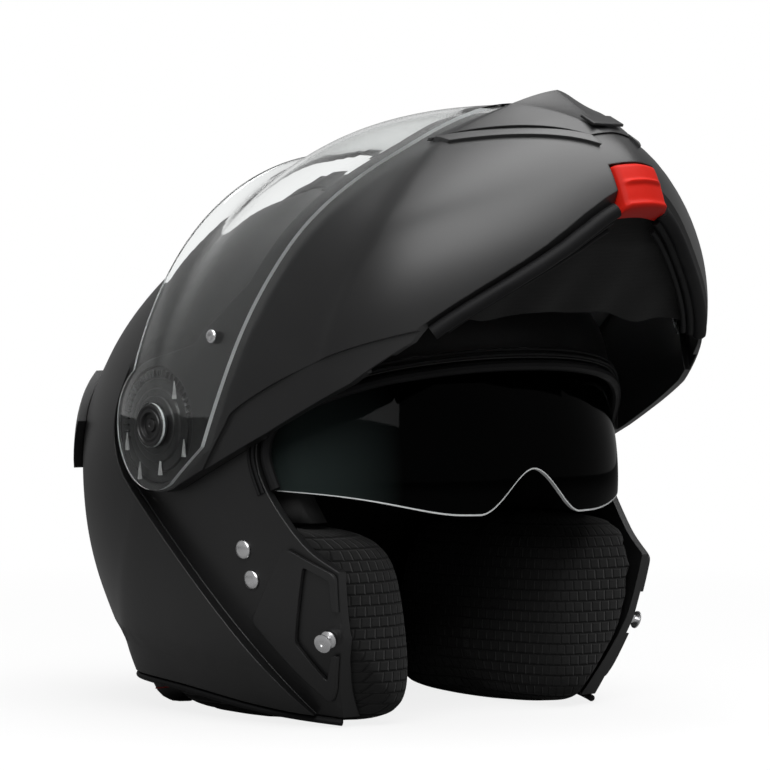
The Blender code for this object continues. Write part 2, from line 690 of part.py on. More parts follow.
# Latch plates, striker pins and strap rivets, standing on the cheek panels
def panel_point(side, forward, up, lift):
    """A point over the cheek panel and the direction square to it there."""
    distance = math.hypot(forward, up)
    step = 0.001
    fall = (panel_across(distance - step) - panel_across(distance + step)) / (2 * step)
    direction = at(side, fall * forward / distance, fall * up / distance).normalized()
    return at(side * panel_across(distance), forward, up) + direction * lift, direction


PANEL_SEAT = panel_form("panel_seat", HELMET, SEAT_GAP)
PANEL_PLATE = panel_form("panel_plate", HELMET, SEAT_GAP + PLATE_THICKNESS)
PIN_PROFILE = (
    (-FITTING_FOOT, 0), (-FITTING_FOOT, PIN_BASE_RADIUS), (PIN_BASE_HEIGHT, PIN_BASE_RADIUS),
    (PIN_NECK_START, PIN_NECK_RADIUS), (PIN_LENGTH - PIN_HEAD_THICKNESS, PIN_NECK_RADIUS),
    (PIN_LENGTH - PIN_HEAD_THICKNESS, PIN_HEAD_RADIUS), (PIN_LENGTH, PIN_HEAD_RADIUS), (PIN_LENGTH, 0))
RIVET_PROFILE = [(-FITTING_FOOT, 0), (-FITTING_FOOT, RIVET_RADIUS)] + [
    (RIVET_HEIGHT * math.sin(math.pi / 8 * i), RIVET_RADIUS * math.cos(math.pi / 8 * i)) for i in range(4)
] + [(RIVET_HEIGHT, 0)]
for word, hand in SIDES:
    inner = hand * 0.5 * HALF_WIDTH
    outer = hand * 1.2 * HALF_WIDTH
    plate = prism(f"striker_plate_{word}", HELMET, fillet(PLATE_EDGE, PLATE_CORNER, 2), inner, outer,
                  material=BLACK_PLASTIC)
    cut(plate, PANEL_PLATE, "INTERSECT")
    cut(plate, PANEL_SEAT)
    cut(plate, prism(f"plate_pocket_{word}", HELMET, PLATE_POCKET, inner, outer))
    base, out = panel_point(hand, PIN_FORWARD, PIN_UP, SOFT_GAP)
    cut(turned(f"striker_pin_{word}", HELMET, PIN_PROFILE, base, out, STEEL, 20), PANEL_SEAT)
    for row, forward, up in RIVET_PLACES:
        base, out = panel_point(hand, forward, up, SEAT_GAP)
        cut(turned(f"strap_rivet_{row}_{word}", HELMET, RIVET_PROFILE, base, out, STEEL, 16), PANEL_SEAT)


# Sun visor: lens, arms and pivot pins
def lens_point(u, v, lift):
    across = mix(-SUN_REACH, SUN_REACH, u)
    side = abs(across) / SUN_REACH
    nose = SUN_NOSE_RISE * (1 - smooth(abs(across) / SUN_NOSE_HALF))
    low = SUN_BOTTOM + nose + SUN_SIDE_RISE * smooth((side - 0.4) / 0.6)
    angle = mix(low, SUN_TOP, v)
    reach = bulge(abs(across) / (SUN_HALF_WIDTH + lift), SUN_RADIUS + lift, SUN_FULLNESS)
    return at(across, reach * math.cos(angle), reach * math.sin(angle))


patch("sun_visor", SUN, lambda u, v: lens_point(u, v, -SUN_THICKNESS), lambda u, v: lens_point(u, v, 0.0),
      24, 4, SMOKED_VISOR)
SUN_OUTER = sun_form("sun_outer", 0.0)
SUN_INNER = sun_form("sun_inner", -SUN_THICKNESS)
arm_end = bulge(SUN_REACH / SUN_HALF_WIDTH, SUN_RADIUS, SUN_FULLNESS) * 1.1
arm_outline = disc(SUN_ARM_RADIUS, math.radians(100), math.radians(265), 8) + [
    (arm_end * math.cos(a), arm_end * math.sin(a)) for a in (SUN_BOTTOM + SUN_SIDE_RISE, SUN_TOP)]
SUN_HEAD = SUN_SLOT_GAP - 4 * SEAT_GAP
for word, hand in SIDES:
    arm = prism(f"sun_visor_arm_{word}", SUN, arm_outline, hand * (SUN_REACH + SEAT_GAP),
                hand * 1.2 * HALF_WIDTH, material=SMOKED_VISOR)
    cut(arm, SUN_OUTER, "INTERSECT")
    cut(arm, SUN_INNER)
    bore = disc(SUN_PIN_RADIUS + SEAT_GAP, steps=20)
    cut(arm, prism(f"sun_bore_{word}", SUN, bore, hand * 0.5 * HALF_WIDTH, hand * 1.2 * HALF_WIDTH))
    head = SUN_HALF_WIDTH - SUN_THICKNESS - SUN_SLOT_GAP + SEAT_GAP
    length = panel_across(-SUN_AXIS_UP, SHELL_WALL + 2 * SOFT_GAP) - head
    turned(f"sun_visor_pin_{word}", SUN,
           ((0, 0), (0, 1.5 * SUN_PIN_RADIUS), (SUN_HEAD, 1.5 * SUN_PIN_RADIUS), (SUN_HEAD, SUN_PIN_RADIUS),
            (length, SUN_PIN_RADIUS), (length, 0)),
           at(hand * head, 0, 0), (hand, 0, 0), STEEL, 20)


# Sun visor slider on the left of the bottom rim
def slider_point(u, v, lift):
    forward = SLIDER_FRONT - SLIDER_LENGTH * u
    up = SLIDER_TOP - SLIDER_HEIGHT * v
    return at(skin_across(forward, up) + lift, forward, up)


patch("sun_visor_slider", HELMET, lambda u, v: slider_point(u, v, RUNNING_GAP),
      lambda u, v: slider_point(mix(u, 0.5, 0.25), mix(v, 0.5, 0.25), SLIDER_PROUD), 6, 3, BLACK_PLASTIC)


# Chin bar with its arms, liner, edge trim, curtain and latch catches
CHIN_SIDE_INSET = PANEL_DEPTH - SEAT_GAP
ARM_FLOOR = HALF_WIDTH - PIVOT_PLATE_THICKNESS - SEAT_GAP
chin_outline = (
    disc(ARM_RADIUS, math.radians(38), math.radians(228), 14) + list(CHIN_REAR_EDGE) + list(CHIN_BOTTOM_EDGE)
    + [(CUT_REACH, CHIN_BOTTOM_EDGE[-1][1]), (CUT_REACH, CHIN_TOP_EDGE[0][1])] + list(CHIN_TOP_EDGE[:-1]))
notch_gap = RUNNING_GAP + 0.0004


def wedge(name, low, high, inner, outer, half):
    """A cutter between two angles and two distances from the hinge axis, about the middle plane."""
    corners = [(inner, low), (outer, low), (outer, high), (inner, high)]
    return prism(name, CHIN, [(r * math.cos(a), r * math.sin(a)) for r, a in corners], -half, half)


BUTTON_DEEP = skin_radius(BUTTON_LOW) - BUTTON_DEPTH - BUTTON_TRAVEL - 2 * RUNNING_GAP
NOTCH = wedge("button_notch", BUTTON_LOW - math.radians(8), BUTTON_HIGH + math.radians(0.3), BUTTON_DEEP,
              CUT_REACH, BUTTON_HALF + notch_gap)
chin_bar = skin_form("chin_bar", CHIN, 0.0, material=MATTE_BLACK)
cut(chin_bar, skin_form("chin_inside", CHIN, CHIN_WALL, CHIN_SIDE_INSET, facets=WALL_FACETS))
cut(chin_bar, panel_form("panel_run", CHIN, RUNNING_GAP))
relief = full_prism("fittings_relief", CHIN, sector(RELIEF_INSIDE, RELIEF_OUTSIDE, RELIEF_FROM, RELIEF_TO, 10))
cut(relief, panel_form("fittings_run", CHIN, RELIEF_DEPTH), "INTERSECT")
cut(chin_bar, relief)
flank = full_prism("chin_flank", CHIN, list(CHIN_CREASE) + [(CHIN_CREASE[-1][0], -CUT_REACH),
                                                           (CHIN_CREASE[0][0], -CUT_REACH)])
cut(flank, skin_form("chin_flank_floor", CHIN, FLANK_DEPTH))
cut(chin_bar, flank)
cut(chin_bar, full_prism("chin_outline", CHIN, chin_outline), "INTERSECT")
cut(chin_bar, NOTCH)
for word, hand in SIDES:
    pocket = disc(PIVOT_PLATE_RADIUS + RUNNING_GAP, steps=36)
    cut(chin_bar, prism(f"pivot_pocket_{word}", CHIN, pocket, hand * ARM_FLOOR, hand * 1.2 * HALF_WIDTH))
    bore = disc(HINGE_PIN_RADIUS + SEAT_GAP, steps=24)
    cut(chin_bar, prism(f"hinge_bore_{word}", CHIN, bore, hand * 0.5 * HALF_WIDTH, hand * 1.2 * HALF_WIDTH))

liner_seat = CHIN_WALL + SEAT_GAP
chin_liner = full_prism("chin_bar_liner", CHIN, CHIN_LINER_EDGE)
chin_liner.hide_render = False
chin_liner.display_type = "TEXTURED"
chin_liner.data.materials.append(BLACK_FABRIC)
CHIN_ROOM = skin_form("chin_room", CHIN, liner_seat, CHIN_SIDE_INSET + SEAT_GAP, facets=WALL_FACETS)
cut(chin_liner, CHIN_ROOM, "INTERSECT")
cut(chin_liner, skin_form("chin_liner_inside", CHIN, liner_seat + CHIN_LINER_THICKNESS, facets=WALL_FACETS))
cut(chin_liner, NOTCH)

trim_line = shifted(CHIN_BOTTOM_EDGE, -(CHIN_TRIM_RADIUS + SEAT_GAP))
trim_half = edge_path(trim_line, CHIN_TRIM_RADIUS, 14, skin_across, BUTTON_HALF + notch_gap + 5 * SEAT_GAP)
for word, hand in SIDES:
    tube(f"chin_edge_trim_{word}", CHIN, [Vector((hand * p.x, p.y, p.z)) for p in trim_half], CHIN_TRIM_RADIUS,
         BLACK_RUBBER)


def chin_inner(forward, up):
    """Half width of the chin bar's inner wall at a place in the side view."""
    return skin_across(forward, up, CHIN_WALL, CHIN_SIDE_INSET)


curtain_half = chin_inner(CURTAIN_SIDE, CHIN_BOTTOM_EDGE[0][1] + CURTAIN_UP) - CURTAIN_SIDE_GAP


def curtain_point(u, v, lift):
    """The curtain runs back from the chin bar's lower edge to a wavy free edge."""
    across = mix(-curtain_half, curtain_half, u)
    rear = CURTAIN_SIDE + (CURTAIN_MIDDLE - CURTAIN_SIDE) * (1 - smooth(abs(across) / (0.62 * curtain_half)))
    forward = mix(rear, CHIN_BOTTOM_EDGE[-1][0], v)
    start, bend = CHIN_BOTTOM_EDGE[:2]
    fall = (bend[1] - start[1]) / (bend[0] - start[0])
    up = max(start[1] + fall * (forward - start[0]), bend[1]) + CURTAIN_UP
    return at(across, forward, up + lift)


curtain = patch("chin_curtain", CHIN, lambda u, v: curtain_point(u, v, 0.0),
                lambda u, v: curtain_point(u, v, CURTAIN_THICKNESS), 16, 6, BLACK_FABRIC)
cut(curtain, CHIN_ROOM, "INTERSECT")
cut(curtain, NOTCH)


pin_distance = math.hypot(PIN_FORWARD, PIN_UP)
pin_angle = math.atan2(PIN_UP, PIN_FORWARD)
groove_sweep = math.radians(14)
groove_end = pin_angle + (PIN_HEAD_RADIUS + 2 * RUNNING_GAP) / pin_distance
slot_half = PIN_NECK_RADIUS + 2 * RUNNING_GAP
slot_start = -0.45 * CATCH_LENGTH
fork = [(slot_start, -CATCH_HALF), (0.55 * CATCH_LENGTH, -CATCH_HALF), (0.55 * CATCH_LENGTH, CATCH_HALF),
        (slot_start, CATCH_HALF), (slot_start, slot_half)]
fork += [(slot_half * math.cos(a), slot_half * math.sin(a)) for a in (
    math.pi / 2, math.pi / 4, 0, -math.pi / 4, -math.pi / 2)]
fork += [(slot_start, -slot_half)]
for word, hand in SIDES:
    head, out = panel_point(hand, PIN_FORWARD, PIN_UP, SOFT_GAP + PIN_LENGTH)
    groove_floor = abs(head.x) + PIN_HEAD_RADIUS * math.hypot(out.y, out.z) + RUNNING_GAP
    groove = sector(pin_distance - PIN_BASE_RADIUS - 2 * RUNNING_GAP,
                    math.hypot(head.y, head.z) + PIN_HEAD_RADIUS + 2 * RUNNING_GAP,
                    groove_end - groove_sweep, groove_end, 4)
    cut(chin_bar, prism(f"pin_groove_{word}", CHIN, groove, hand * 0.5 * HALF_WIDTH, hand * groove_floor))
    along = Vector((-math.sin(pin_angle), math.cos(pin_angle)))
    away = Vector((math.cos(pin_angle), math.sin(pin_angle)))
    neck_middle = (PIN_NECK_START + PIN_LENGTH - PIN_HEAD_THICKNESS) / 2
    neck, out = panel_point(hand, PIN_FORWARD, PIN_UP, SOFT_GAP + neck_middle)
    centre = away * math.hypot(neck.y, neck.z)
    wall = chin_inner(*centre)
    fall = (chin_inner(*(centre + away * CATCH_HALF)) - wall) / CATCH_HALF
    bm = bmesh.new()
    bottom = []
    for s, w in fork:
        place = centre + along * s + away * w
        across = wall + fall * w - CATCH_DROP - CATCH_THICKNESS
        bottom.append(bm.verts.new(at(hand * across, place.x, place.y)))
    plate = bmesh.ops.extrude_face_region(bm, geom=[bm.faces.new(bottom)])["geom"]
    bmesh.ops.translate(bm, verts=[v for v in plate if isinstance(v, bmesh.types.BMVert)],
                        vec=(hand * CATCH_THICKNESS, 0, 0))
    bmesh.ops.recalc_face_normals(bm, faces=bm.faces)
    piece(f"latch_catch_{word}", bm, CHIN, STEEL)


# Release button
def button_point(u, v, lift):
    across = mix(-BUTTON_HALF, BUTTON_HALF, u)
    return on_skin(across, mix(BUTTON_LOW, BUTTON_HIGH, v), lift)


patch("release_button", CHIN, lambda u, v: button_point(u, v, -BUTTON_DEPTH),
      lambda u, v: button_point(u, v, BUTTON_PROUD), 8, 5, RED_PLASTIC)


# Hinge pins, pivot plates, visor, hubs and lock pins
visor_outline = disc(VISOR_LOBE, math.radians(55), math.radians(229), 16) + list(VISOR_LOWER_EDGE) + list(
    VISOR_UPPER_EDGE)
visor = skin_form("visor", VISOR, -VISOR_GAP - VISOR_THICKNESS, material=CLEAR_VISOR)
cut(visor, skin_form("visor_inside", VISOR, -VISOR_GAP))
cut(visor, full_prism("visor_outline", VISOR, visor_outline), "INTERSECT")
VISOR_FACE = HALF_WIDTH + VISOR_GAP + VISOR_THICKNESS
for word, hand in SIDES:
    hole = disc(HUB_RADIUS + RUNNING_GAP, steps=28)
    cut(visor, prism(f"hub_hole_{word}", VISOR, hole, hand * 0.5 * HALF_WIDTH, hand * 1.2 * HALF_WIDTH))
    panel_face = panel_across(0.0) + SEAT_GAP
    turned(f"hinge_pin_{word}", HELMET,
           ((0, 0), (0, HINGE_PIN_RADIUS), (ARM_FLOOR - panel_face, HINGE_PIN_RADIUS),
            (ARM_FLOOR - panel_face, 0)),
           at(hand * panel_face, 0, 0), (hand, 0, 0), STEEL, 20)
    plate_low = ARM_FLOOR + SEAT_GAP
    thick = PIVOT_PLATE_THICKNESS
    turned(f"pivot_plate_{word}", CHIN,
           ((0, 0), (0, PIVOT_PLATE_RADIUS), (0.3 * thick, PIVOT_PLATE_RADIUS),
            (0.6 * thick, 0.78 * PIVOT_PLATE_RADIUS), (thick, 0.5 * PIVOT_PLATE_RADIUS), (thick, 0)),
           at(hand * plate_low, 0, 0), (hand, 0, 0), BLACK_PLASTIC, 24)
    hub_low = plate_low + thick + SEAT_GAP
    stem = VISOR_FACE + SEAT_GAP - hub_low
    top = stem + HUB_FLANGE_THICKNESS
    turned(f"visor_hub_{word}", CHIN,
           ((0, 0), (0, HUB_RADIUS), (stem, HUB_RADIUS), (stem, HUB_FLANGE_RADIUS), (top, HUB_FLANGE_RADIUS),
            (top, 0.6 * HUB_RADIUS), (0.6 * top, 0.55 * HUB_RADIUS), (0.6 * top, 0)),
           at(hand * hub_low, 0, 0), (hand, 0, 0), BLACK_PLASTIC, 20)
    pin_across = skin_across(LOCK_PIN_FORWARD, LOCK_PIN_UP, -VISOR_GAP - VISOR_THICKNESS)
    turned(f"visor_lock_pin_{word}", VISOR,
           ((0, 0), (0, LOCK_PIN_RADIUS), (0.6 * LOCK_PIN_HEIGHT, LOCK_PIN_RADIUS),
            (LOCK_PIN_HEIGHT, 0.6 * LOCK_PIN_RADIUS), (LOCK_PIN_HEIGHT, 0)),
           at(hand * (pin_across + 2 * SEAT_GAP), LOCK_PIN_FORWARD, LOCK_PIN_UP), (hand, 0, 0), STEEL, 16)


# Vents: chin vent with its side inserts and slider, crown vent with its slider, and the rear vent
def vent_half(angle):
    """Half width of the chin vent's cover: narrow at its mouth, wide near the visor."""
    t = (angle - CHIN_VENT_LOW) / (VENT_WIDE_ANGLE - CHIN_VENT_LOW)
    return mix(VENT_NARROW, CHIN_VENT_HALF, min(t, 1.0))


def vent_point(u, v, raised):
    angle = mix(CHIN_VENT_LOW, CHIN_VENT_HIGH, v)
    across = vent_half(angle) * (2 * u - 1)
    peak = (CHIN_VENT_PEAK - CHIN_VENT_LOW) / (CHIN_VENT_HIGH - CHIN_VENT_LOW)
    ridge = max(0.0, 1 - abs(across) / (0.9 * CHIN_VENT_HALF)) * min(v / peak, (1 - v) / (1 - peak))
    lift = mix(-THIN_EDGE, THIN_EDGE + CHIN_VENT_HEIGHT * ridge, raised)
    return on_skin(across, angle, lift)


cover = patch("chin_vent_cover", CHIN, lambda u, v: vent_point(u, v, 0), lambda u, v: vent_point(u, v, 1),
              10, 8, BLACK_PLASTIC)

CHIN_SEAT = skin_form("chin_seat", CHIN, -SEAT_GAP)
cut(cover, CHIN_SEAT)


def insert_point(u, v, hand, lift):
    angle = mix(CHIN_VENT_LOW, VENT_WIDE_ANGLE, u)
    below = INSERT_GAP + INSERT_HEIGHT * v * mix(0.7, 1.0, u)
    return on_skin(hand * vent_half(angle), angle - below, lift)


for word, hand in SIDES:
    insert = patch(f"chin_vent_insert_{word}", CHIN, lambda u, v: insert_point(u, v, hand, -THIN_EDGE),
                   lambda u, v: insert_point(u, v, hand, INSERT_THICKNESS), 8, 2, GREY_PLASTIC)
    cut(insert, CHIN_SEAT)


def crown_point(u, v, raised):
    angle = mix(CROWN_VENT_FRONT, CROWN_VENT_REAR, v)
    across = CROWN_VENT_HALF * (2 * u - 1) * (0.55 + 0.45 * math.sin(math.pi * v))
    ridge = (1 - abs(2 * u - 1) ** 2.5) * math.sin(math.pi * min(v * 1.1, 1.0)) ** 0.8
    lift = mix(-THIN_EDGE, THIN_EDGE + CROWN_VENT_HEIGHT * ridge, raised)
    return on_skin(across, angle, lift)


crown_cover = patch("crown_vent_cover", HELMET, lambda u, v: crown_point(u, v, 0),
                    lambda u, v: crown_point(u, v, 1), 8, 10, BLACK_PLASTIC)
SHELL_SEAT = skin_form("shell_seat", HELMET, -SEAT_GAP)
cut(crown_cover, SHELL_SEAT)

rear_outline = [(REAR_VENT_FORWARD, 0.0), (REAR_VENT_FORWARD - 0.020, REAR_VENT_TOP),
                (-CUT_REACH, REAR_VENT_TOP), (-CUT_REACH, REAR_VENT_BOTTOM),
                (REAR_VENT_FORWARD - 0.020, REAR_VENT_BOTTOM)]
rear_vent = full_prism("rear_vent", HELMET, rear_outline)
rear_vent.hide_render = False
rear_vent.display_type = "TEXTURED"
rear_vent.data.materials.append(BLACK_PLASTIC)
cut(rear_vent, skin_form("rear_vent_outside", HELMET, -SEAT_GAP - REAR_VENT_HEIGHT), "INTERSECT")
cut(rear_vent, SHELL_SEAT)
for up in REAR_SLOTS:
    slot = [(-CUT_REACH, up), (REAR_VENT_FORWARD, up), (REAR_VENT_FORWARD, up + REAR_SLOT_HEIGHT),
            (-CUT_REACH, up + REAR_SLOT_HEIGHT)]
    cut(rear_vent, prism(f"exhaust_slot_{up:+.3f}", HELMET, slot, -REAR_SLOT_HALF, REAR_SLOT_HALF))


# Vent sliders, each in a slot of its cover
def slot_outline(angle, back, front, low, high):
    """A box in the side view on the skin at an angle: back to front along it, low to high off it."""
    step = math.radians(0.5)
    base = on_skin(0.0, angle)
    along = (on_skin(0.0, angle + step) - on_skin(0.0, angle - step)).normalized()
    off = along.cross(Vector((1, 0, 0))).normalized()
    off *= math.copysign(1.0, off.dot(base))
    corners = [base + along * a + off * b for a, b in ((back, low), (front, low), (front, high), (back, high))]
    return [(-corner.y, corner.z) for corner in corners]


def slider(name, carrier, cover, angle, half, length, floor, top, back, front):
    """A vent slider and the slot that is cut for it; back and front are the slot's ends from its middle."""
    slot = slot_outline(angle, back - length / 2, front + length / 2, floor, top + CHIN_VENT_HEIGHT)
    cut(cover, prism(f"{name}_slot", carrier, slot, -half - RUNNING_GAP, half + RUNNING_GAP))
    shape = slot_outline(angle, -length / 2, length / 2, floor + SEAT_GAP, top)
    prism(name, carrier, shape, -half, half, material=BLACK_PLASTIC)


slider("chin_vent_slider", CHIN, cover, VENT_SLIDER_ANGLE, VENT_SLIDER_HALF, VENT_SLIDER_LENGTH,
       VENT_SLOT_FLOOR, VENT_SLIDER_TOP, -VENT_SLIDER_LENGTH, RUNNING_GAP)
slider("crown_vent_slider", HELMET, crown_cover, CROWN_SLIDER_ANGLE, CROWN_SLIDER_HALF, CROWN_SLIDER_LENGTH,
       CROWN_SLOT_FLOOR, CROWN_SLIDER_TOP, -RUNNING_GAP, CROWN_SLIDER_TRAVEL + RUNNING_GAP)
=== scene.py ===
import math
import bmesh
import bpy
from mathutils import Matrix, Vector


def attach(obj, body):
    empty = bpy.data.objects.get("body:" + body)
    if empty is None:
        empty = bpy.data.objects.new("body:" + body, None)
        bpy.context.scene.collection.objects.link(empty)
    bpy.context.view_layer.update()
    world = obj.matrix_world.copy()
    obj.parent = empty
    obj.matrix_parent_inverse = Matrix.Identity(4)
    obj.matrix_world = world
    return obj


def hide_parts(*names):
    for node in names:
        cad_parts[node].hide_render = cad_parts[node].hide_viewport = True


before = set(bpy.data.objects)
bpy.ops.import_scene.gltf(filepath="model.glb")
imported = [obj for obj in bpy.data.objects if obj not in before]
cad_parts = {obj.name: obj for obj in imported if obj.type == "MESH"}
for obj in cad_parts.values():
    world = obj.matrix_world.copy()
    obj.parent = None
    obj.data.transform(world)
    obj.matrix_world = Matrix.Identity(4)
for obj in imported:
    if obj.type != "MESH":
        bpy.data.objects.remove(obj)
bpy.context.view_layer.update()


# Outer shell: an injection-moulded dome, painted satin black, with a sunk cheek panel on each side that the
# chin bar's arms run over. Its form is a rounded body about the hinge axis, so its radius and its fullness are
# guided by the angle in the side view. It carries everything else.
hinge = Vector((0.0, 0.0266, 0.140))
worn = Matrix.Translation(hinge)
half_width = 0.125
skin_radii = (
    (-90, 0.172), (-57, 0.203), (-46, 0.222), (-40, 0.2285), (-34, 0.229), (-28, 0.2205), (-21, 0.205),
    (-14, 0.184), (0, 0.156), (14, 0.131), (27, 0.130), (45, 0.121), (65, 0.119), (90, 0.1166), (112, 0.1125),
    (135, 0.1165), (160, 0.130), (180, 0.146), (205, 0.152), (230, 0.158), (239, 0.1625), (246, 0.171),
)
side_fullness = ((-90, 3.0), (-50, 2.8), (-20, 2.45), (10, 2.2), (100, 2.0), (180, 2.0), (225, 2.4))
front_fullness = ((-90, 3.0), (-50, 1.85), (-34, 1.75), (-24, 1.70), (-16, 1.90), (-8, 2.10), (10, 2.2), (100, 2.0),
                  (180, 2.0), (225, 2.4))
shell_wall = 0.004
panel_depth = 0.008
panel_radius = 0.195
panel_fullness = 2.7
far_out = 0.32
both_sides = (("left", 1), ("right", -1))


def at(across, forward, up):
    return Vector((across, -forward, up))


def mix(a, b, t):
    return a + (b - a) * t


def ease(t):
    t = min(max(t, 0.0), 1.0)
    return t * t * (3 - 2 * t)


def guided(angle, guide):
    degrees = math.degrees(angle)
    degrees -= 360 * math.floor((degrees - guide[0][0]) / 360)
    rows = [(a - 360, v) for a, v in guide[-2:]] + list(guide) + [(a + 360, v) for a, v in guide[:2]]
    here = max(i for i in range(1, len(rows) - 2) if rows[i][0] <= degrees)
    (a0, v0), (a1, v1), (a2, v2), (a3, v3) = rows[here - 1:here + 3]
    t = (degrees - a1) / (a2 - a1)
    slope1 = (v2 - v0) / (a2 - a0) * (a2 - a1)
    slope2 = (v3 - v1) / (a3 - a1) * (a2 - a1)
    rise = v2 - v1
    return v1 + t * slope1 + t * t * (3 * rise - 2 * slope1 - slope2) + t ** 3 * (slope1 + slope2 - 2 * rise)


def skin_radius(angle):
    return guided(angle, skin_radii)


def skin_fullness(angle, share):
    return mix(guided(angle, side_fullness), guided(angle, front_fullness), ease((share - 0.55) / 0.45))


def bulge(share, width, fullness):
    return width * (1 - min(share, 1.0) ** fullness) ** (1 / fullness)


def skin_across(forward, up, inset=0.0, side_inset=None):
    angle = math.atan2(up, forward)
    share = math.hypot(forward, up) / (skin_radius(angle) - inset)
    return bulge(share, half_width - (inset if side_inset is None else side_inset), skin_fullness(angle, share))


def panel_across(distance, inset=0.0):
    return bulge(distance / (panel_radius - inset), half_width - panel_depth - inset, panel_fullness)


def solid(name, bm):
    mesh = bpy.data.meshes.new(name)
    bm.to_mesh(mesh)
    bm.free()
    made = bpy.data.objects.new(name, mesh)
    bpy.context.scene.collection.objects.link(made)
    return made


def rounded(name, width, radius, fullness, limit=None, around=168, over=88):
    bm = bmesh.new()
    bmesh.ops.create_uvsphere(bm, u_segments=around, v_segments=over, radius=1.0)
    for vert in bm.verts:
        angle = math.atan2(vert.co.y, vert.co.x)
        share = min(math.hypot(vert.co.x, vert.co.y), 1.0) ** (2 / fullness(angle, 1.0))
        distance = radius(angle) * share
        across = 0.0 if abs(vert.co.z) < 1e-6 else bulge(share, width, fullness(angle, share))
        if limit:
            across = min(across, limit(distance))
        across = -math.copysign(across, vert.co.z)
        vert.co = at(across, distance * math.cos(angle), distance * math.sin(angle))
    return solid(name, bm)


def skin_layer(name, inset, side_inset=None, around=168, over=88):
    width = half_width - (inset if side_inset is None else side_inset)
    return rounded(name, width, lambda angle: skin_radius(angle) - inset, skin_fullness, None, around, over)


def panel_layer(name, lift):
    return rounded(name, half_width - panel_depth + lift, lambda angle: panel_radius + lift,
                   lambda angle, share: panel_fullness)


def inside_layer(name, inset):
    return rounded(name, half_width - inset, lambda angle: min(skin_radius(angle), panel_radius) - inset,
                   skin_fullness, lambda distance: panel_across(distance, inset))


def slab(name, outline, low, high, far_outline=None):
    bm = bmesh.new()
    near = [bm.verts.new(at(low, forward, up)) for forward, up in outline]
    grown = bmesh.ops.extrude_face_region(bm, geom=[bm.faces.new(near)], use_keep_orig=True)["geom"]
    places = {tuple(round(c, 7) for c in v.co): p for v, p in zip(near, far_outline or outline)}
    for vert in grown:
        if isinstance(vert, bmesh.types.BMVert):
            forward, up = places[tuple(round(c, 7) for c in vert.co)]
            vert.co = at(high, forward, up)
    bmesh.ops.recalc_face_normals(bm, faces=bm.faces)
    return solid(name, bm)


def slice_across(name, outline):
    return slab(name, outline, -2 * half_width, 2 * half_width)


def settle(piece):
    """Apply a piece's modifiers."""
    seen = piece.evaluated_get(bpy.context.evaluated_depsgraph_get())
    shaped = bpy.data.meshes.new_from_object(seen)
    piece.modifiers.clear()
    piece.data = shaped


def carve(target, tool, operation="DIFFERENCE"):
    step = target.modifiers.new("carve", "BOOLEAN")
    step.operation = operation
    step.solver = "MANIFOLD"
    step.object = tool
    settle(target)
    bpy.data.objects.remove(tool, do_unlink=True)


def curved(points, steps):
    """A line through points, rounded between them."""
    line = []
    ends = [points[0], *points, points[-1]]
    for p0, p1, p2, p3 in zip(ends, ends[1:], ends[2:], ends[3:]):
        for i in range(steps):
            t = i / steps
            line.append(tuple(
                b + 0.5 * t * (c - a + t * (2 * a - 5 * b + 4 * c - d + t * (3 * (b - c) + d - a)))
                for a, b, c, d in zip(p0, p1, p2, p3)))
    return line + [tuple(points[-1])]


def arc(radius, start, end, steps):
    angles = [mix(start, end, i / steps) for i in range(steps + 1)]
    return [(radius * math.cos(angle), radius * math.sin(angle)) for angle in angles]


def feed(tree, target, values):
    """Set a node's sockets, each to a value, to an output or to another node's first output."""
    for socket, value in values.items():
        if isinstance(value, bpy.types.Node):
            value = value.outputs[0]
        if isinstance(value, bpy.types.NodeSocket):
            tree.links.new(value, target.inputs[socket])
        else:
            target.inputs[socket].default_value = value


def node(tree, kind, values=None, **settings):
    made = tree.nodes.new("ShaderNode" + kind)
    for name, setting in settings.items():
        setattr(made, name, setting)
    feed(tree, made, values or {})
    return made


def material(name):
    made = bpy.data.materials.new(name)
    made.use_nodes = True
    return made, made.node_tree, made.node_tree.nodes["Principled BSDF"]


def finish(name, dark, light, rough, cloud, grain, depth, metallic=0.0, edge=0.0, shine=0.5):
    """A surface whose colour and gloss drift a little, with a fine grain; edge softens its corners."""
    made, tree, shader = material(name)
    where = node(tree, "TexCoord").outputs["Object"]
    drift = node(tree, "TexNoise", {"Scale": cloud, "Detail": 6.0, "Vector": where}).outputs["Fac"]
    tint = node(tree, "ValToRGB", {"Fac": drift})
    for stop, place, colour in zip(tint.color_ramp.elements, (0.35, 0.65), (dark, light)):
        stop.position = place
        stop.color = (*colour, 1)
    gloss = node(tree, "MapRange", {"From Min": 0.3, "From Max": 0.7, "To Min": rough[0], "To Max": rough[1],
                                    "Value": drift})
    speck = node(tree, "TexNoise", {"Scale": grain, "Detail": 2.0, "Vector": where})
    relief = node(tree, "Bump", {"Strength": depth, "Distance": 0.0004, "Height": speck.outputs["Fac"]}, name="relief")
    if edge:
        softened = node(tree, "Bevel", {"Radius": edge}, samples=4)
        feed(tree, relief, {"Normal": softened})
    feed(tree, shader, {"Metallic": metallic, "Specular IOR Level": shine, "Base Color": tint,
                        "Roughness": gloss, "Normal": relief})
    return made


def fit(piece, place, body, surface, nodes, sharp=30):
    """Put a piece where it sits, with its finish, riding on its body in place of CAD nodes."""
    piece.data.transform(place)
    if piece.data.materials:
        piece.data.materials[0] = surface
    else:
        piece.data.materials.append(surface)
    piece.data.shade_smooth()
    piece.data.set_sharp_from_angle(angle=math.radians(sharp))
    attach(piece, body)
    if nodes:
        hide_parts(*nodes)


